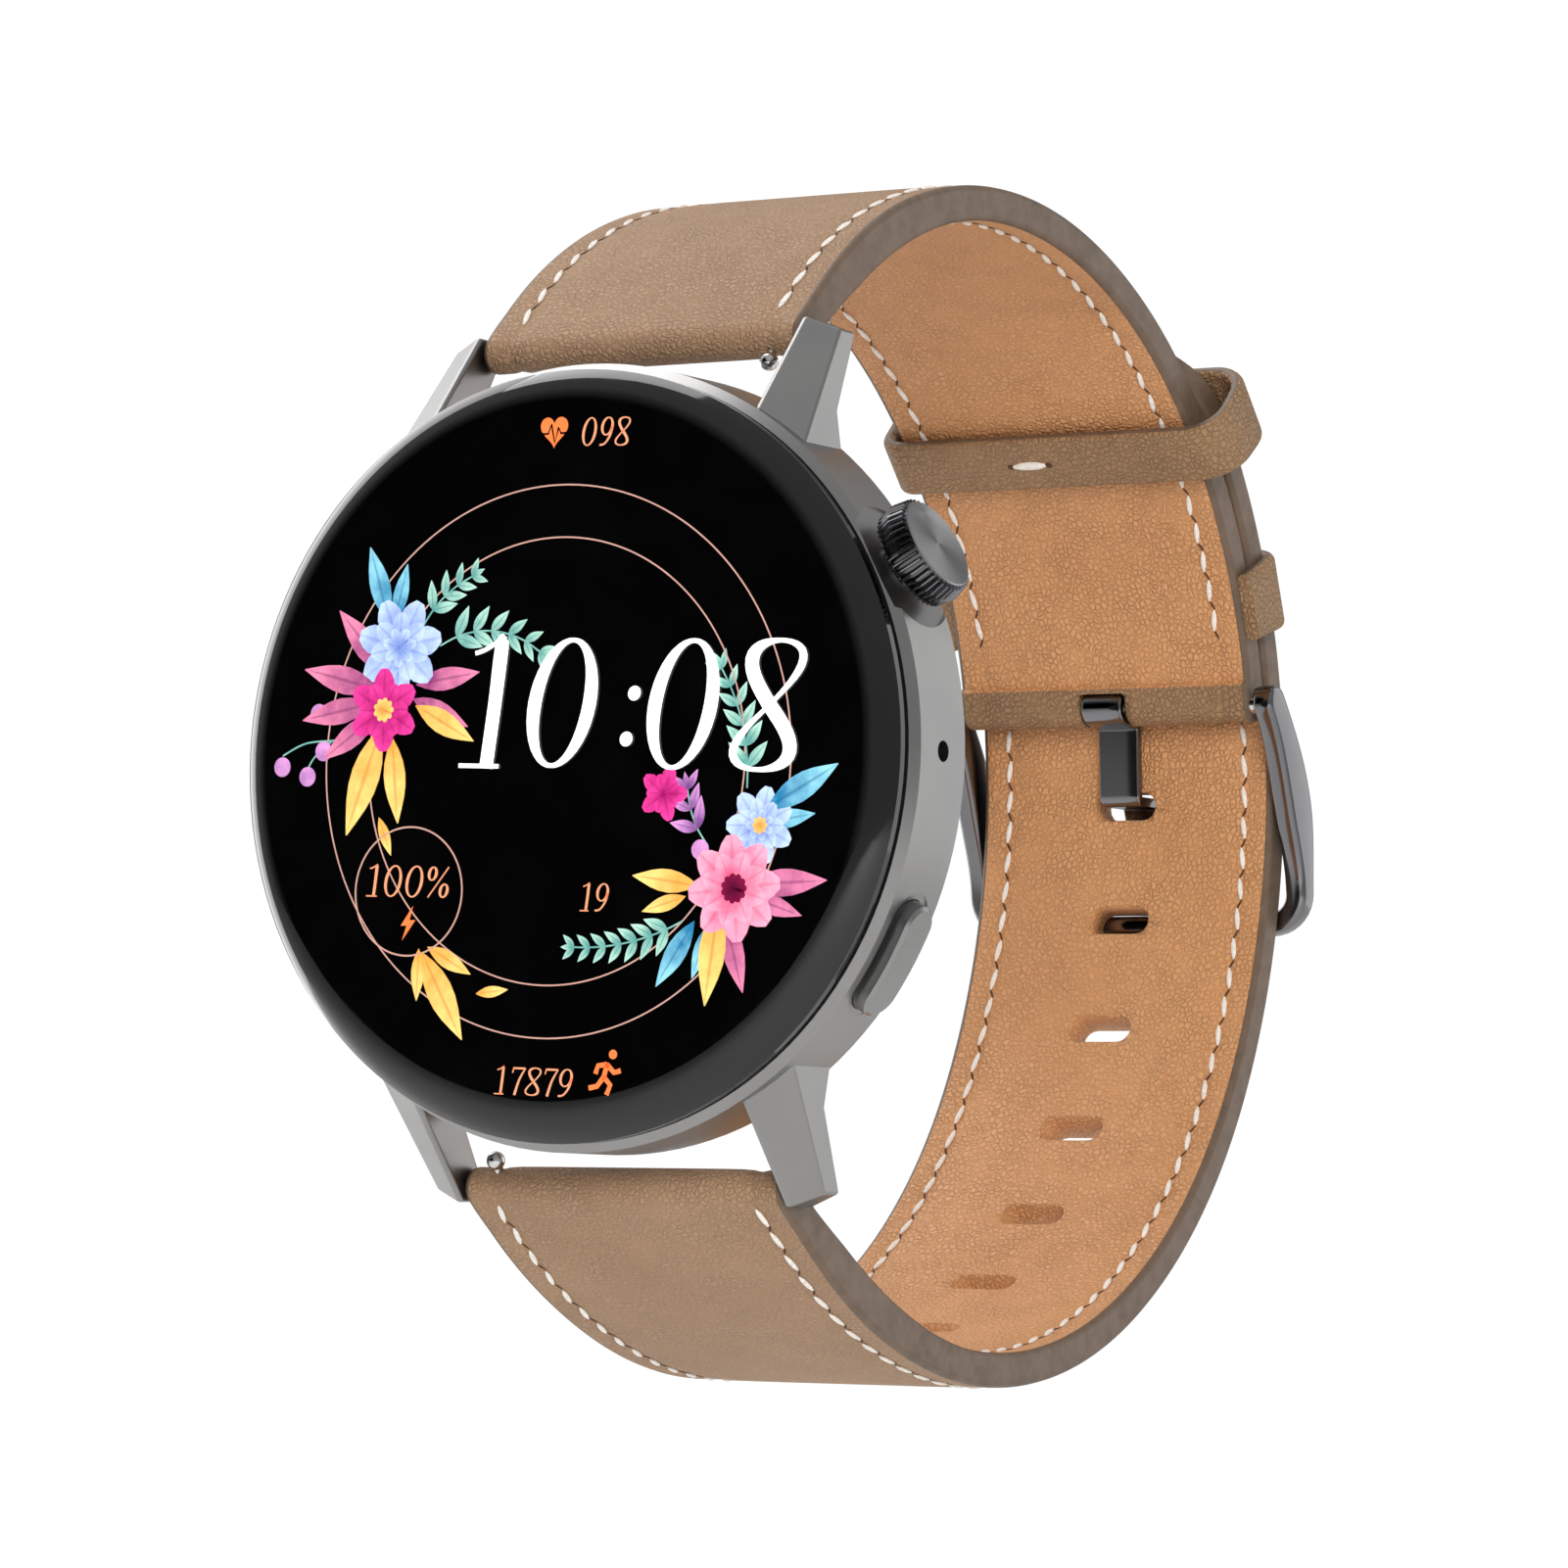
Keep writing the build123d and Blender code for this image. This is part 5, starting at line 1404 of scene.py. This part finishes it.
def dial_flowers():
    """Two loose sprays of made-up flowers on the rings, and a few fallen leaves."""
    leaf, blade, petal = (plate_unit("leaf_unit", leaf_shape), plate_unit("blade_unit", long_leaf_shape),
                          plate_unit("petal_unit", petal_shape))
    pieces, stalks = [], []
    sprays = {
        "teal_leaves": (teal_leaf, leaf, (
            (-9.2, 7.6, 62, -9, 4, 1.75, 0.012), (-8.0, 6.4, 34, -11, 6, 1.95, 0.012),
            (8.8, -9.6, 207, -4, 7, 1.7, 0.012), (12.9, -2.2, 84, 6, 6, 1.9, 0.006))),
        "plum_leaves": (lilac_leaf, leaf, ((10.4, -5.4, 138, -12, 3, 1.9, 0.012),)),
    }
    for name, (paint, unit, group) in sprays.items():
        seats = []
        for given in group:
            found, stalk = spray(*given)
            seats += found
            stalks.append(stalk)
        pieces.append(repeated(name, seats, unit, paint, 1000 * MM, 1000 * MM, 0.006))
    singles = {
        "blue_leaves": (blue_leaf, ((-11.6, 7.9, 108, 4.6), (-11.2, 7.9, 76, 3.4), (14.2, -3.4, 28, 5.2),
                                    (13.8, -4.2, 8, 3.6), (9.6, -9.6, 236, 4.4), (10.6, -9.8, 250, 3.2))),
        "gold_leaves": (gold_leaf, ((-12.0, 1.8, 250, 6.6), (-11.2, 1.2, 276, 5.0), (-9.6, 3.0, 332, 4.6),
                                    (9.8, -7.6, 172, 4.4), (11.2, -8.6, 262, 5.8), (9.0, -8.2, 196, 3.0),
                                    (-8.8, -11.2, 300, 5.8), (-8.4, -10.9, 332, 3.4), (-5.0, -13.6, 6, 2.2),
                                    (-9.0, -11.0, 268, 3.0), (-12.0, -3.4, 292, 2.4))),
        "pink_leaves": (pink_leaf, ((-11.6, 4.8, 132, 5.2), (-12.2, 4.0, 166, 5.4), (-12.6, 3.2, 190, 5.0),
                                    (-12.2, 2.6, 214, 4.6), (-9.6, 4.2, 8, 4.4), (-9.8, 3.4, 336, 4.2),
                                    (13.0, -7.6, 2, 5.2), (13.0, -8.2, 342, 3.8), (11.6, -9.2, 286, 4.6))),
    }
    for name, (paint, places) in singles.items():
        seats = [dial_seat(x, z, angle, size, 0.008) for x, z, angle, size in places]
        pieces.append(repeated(name, seats, blade, paint, 1000 * MM, 1000 * MM, 0.006))
    blossoms = (
        ("blue_blossom_left", blue_petal, (-10.8, 6.4, 2.9, 7, 3, 0.022, 10)),
        ("magenta_blossom", magenta_petal, (-11.8, 2.8, 2.4, 6, 2, 0.05, 30)),
        ("blue_blossom_right", blue_petal, (13.8, -4.3, 2.2, 7, 3, 0.022, 25)),
        ("rose_blossom", rose_petal, (12.2, -7.8, 3.0, 8, 2, 0.05, 5)),
        ("magenta_bud", magenta_petal, (7.4, -2.4, 1.6, 5, 2, 0.022, 70)),
    )
    for name, paint, given in blossoms:
        pieces.append(repeated(name, petals(*given), petal, paint, 1000 * MM, 1000 * MM, 0.006))
    centres = petals(-11.8, 2.8, 0.7, 9, 1, 0.08) + petals(13.8, -4.3, 0.5, 8, 1, 0.06)
    pieces.append(repeated("flower_centres", centres, petal, yellow_centre, 1000 * MM, 1000 * MM, 0.006))
    dark = petals(12.2, -7.8, 0.85, 11, 1, 0.08)
    pieces.append(repeated("rose_centre", dark, petal, heart_dark, 1000 * MM, 1000 * MM, 0.006))
    points, faces = [], []
    for place in ((-18.9, -0.35), (-17.1, -0.95), (-16.0, 0.5), (-16.4, 2.7), (9.9, -5.6)):
        places, _ = ring_places(place, 0.29, 0.29, 18)
        ribbon(points, faces, places, [0.57] * 18, 0.02, True)
    pieces.append(flat_piece("berries", points, faces, lilac_leaf, (0.7, 0.2)))
    points, faces = [], []
    twigs = [[(-12.6, 2.0), (-14.6, 1.2), (-17.2, 1.0), (-18.9, 0.3)]]
    twigs.append([(-15.4, 1.1), (-16.6, 0.2), (-17.1, -0.5)])
    for stalk in stalks + twigs:
        ribbon(points, faces, bend(stalk), [0.1] * len(bend(stalk)), 0.006)
    pieces.append(flat_piece("stalks", points, faces, teal_leaf, (0.2, 0.3)))
    for unit in (leaf, blade, petal):
        discard(unit)
    return pieces


def dial_figures():
    small = (0.1, 0.045, dial_peach)
    return [
        figures("time_figures", "10:08", -6.5, -0.65, 7.55, 0.118, 0.033, dial_white, 0.1),
        figures("pulse_figures", "098", 1.3, 17.5, 1.65, *small, 0.03, 0.97),
        figures("day_figures", "19", 1.95, -8.95, 1.6, *small, 0.03),
        figures("charge_figures", "100%", -12.75, -7.95, 1.85, *small, 0.045, 1.1),
        figures("step_figures", "17879", -3.6, -19.3, 1.6, *small, 0.03, 1.08),
    ]


# ---- the whole watch ----
def dress_case():
    for piece in [dial_rings(), *dial_icons(), *dial_flowers(), *dial_figures()]:
        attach(piece, "case")


def dress_strap():
    upper, lower = upper_strap(), lower_strap()
    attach(upper, "case")
    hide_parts("strap_upper_outer", "strap_upper_lining")
    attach(lower, "case")
    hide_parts("strap_lower_outer", "strap_lower_lining")
    for piece in stitching():
        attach(piece, "case")
    sewn_keeper = fixed_keeper()
    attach(sewn_keeper, "case")
    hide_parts("fixed_keeper")
    loose = free_keeper()
    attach(loose, "loose_keeper")
    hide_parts("free_keeper")
    for piece in keeper_stitch():
        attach(piece, "loose_keeper")


def dress_buckle():
    loop, prong = buckle_frame(), buckle_tongue()
    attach(loop, "buckle")
    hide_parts("buckle_frame")
    for collar in bar_collars():
        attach(collar, "buckle")
    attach(prong, "tongue")
    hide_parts("buckle_tongue")


def dress_crown():
    drum, knurl = crown_drum(), crown_teeth_ring()
    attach(drum, "crown")
    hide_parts("crown_head")
    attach(knurl, "crown")


# ---- stage ----
def soft_light(name, place, target, width, height, power, mirrored=True):
    light = bpy.data.lights.new(name, "AREA")
    light.shape, light.size, light.size_y, light.energy = "RECTANGLE", width, height, power
    holder = bpy.data.objects.new(name, light)
    holder.location = place
    holder.visible_glossy = mirrored
    holder.rotation_euler = (Vector(target) - Vector(place)).to_track_quat("-Z", "Y").to_euler()
    bpy.context.scene.collection.objects.link(holder)


def studio():
    """A white room with a dark corner for the glass to reflect, soft lights and a pale floor far below."""
    world = bpy.data.worlds.new("studio")
    bpy.context.scene.world = world
    world.use_nodes = True
    tree = world.node_tree
    tree.nodes.clear()
    node, link = tree.nodes.new, tree.links.new
    way = node("ShaderNodeTexCoord")
    toward = node("ShaderNodeVectorMath")
    toward.operation = "DOT_PRODUCT"
    toward.inputs[1].default_value = (-0.52, -0.85, 0.07)
    link(way.outputs["Generated"], toward.inputs[0])
    corner = spread(tree, toward.outputs["Value"], 0.72, 0.93, 0.40, 0.0)
    corner = maths(tree, "MAXIMUM", corner, 0.0)
    apart = node("ShaderNodeSeparateXYZ")
    link(way.outputs["Generated"], apart.inputs[0])
    rise = spread(tree, apart.outputs["Z"], -1.0, 1.0, 0.75, 1.15)
    glow, white = node("ShaderNodeBackground"), node("ShaderNodeBackground")
    out = node("ShaderNodeOutputWorld")
    link(maths(tree, "MULTIPLY", corner, rise), glow.inputs["Strength"])
    white.inputs["Strength"].default_value = 1.05
    for background in (glow, white):
        background.inputs["Color"].default_value = (1, 1, 1, 1)
    path, pick = node("ShaderNodeLightPath"), node("ShaderNodeMixShader")
    link(path.outputs["Is Camera Ray"], pick.inputs["Fac"])
    link(glow.outputs[0], pick.inputs[1])
    link(white.outputs[0], pick.inputs[2])
    link(pick.outputs[0], out.inputs["Surface"])

    soft_light("top_softbox", (-0.25, 0.05, 0.6), (0, 0, 0), 0.4, 0.4, 1.7)
    soft_light("key_softbox", (0.4, -0.58, 0.18), (0, 0.01, 0), 0.3, 0.4, 3.2, False)
    soft_light("left_strip", (-0.5, 0.1, 0.12), (0, -0.02, 0), 0.3, 0.8, 1.6)
    soft_light("flank_card", (0.36, 0.6, 0.05), (0, 0, 0), 0.5, 0.6, 0.8)

    half, level = 1.5, -0.16
    corners = [(-half, -half, level), (half, -half, level), (half, half, level), (-half, half, level)]
    pale = moulded("pale_floor", tint(245, 245, 244), tint(240, 240, 239), 0.7, 30, 0.0)
    mesh_piece("floor", corners, [(0, 1, 2, 3)], (pale,))
    bpy.context.scene.view_settings.view_transform = "Standard"


def camera():
    right, up = Vector((0.854, 0.5199, 0.01907)), Vector((0.0203, -0.0699, 0.9973))
    back = right.cross(up).normalized()
    up = back.cross(right).normalized()
    turn = Matrix((right, up, back)).transposed().to_4x4()
    lens = bpy.data.cameras.new("camera")
    lens.lens, lens.sensor_width = 154.0, 36.0
    lens.clip_start, lens.clip_end = 0.01, 20.0
    holder = bpy.data.objects.new("camera", lens)
    holder.matrix_world = Matrix.Translation((0.208912, -0.355077, -0.028193)) @ turn
    bpy.context.scene.collection.objects.link(holder)
    bpy.context.scene.camera = holder


camera()
studio()
dress_case()
dress_strap()
dress_buckle()
dress_crown()
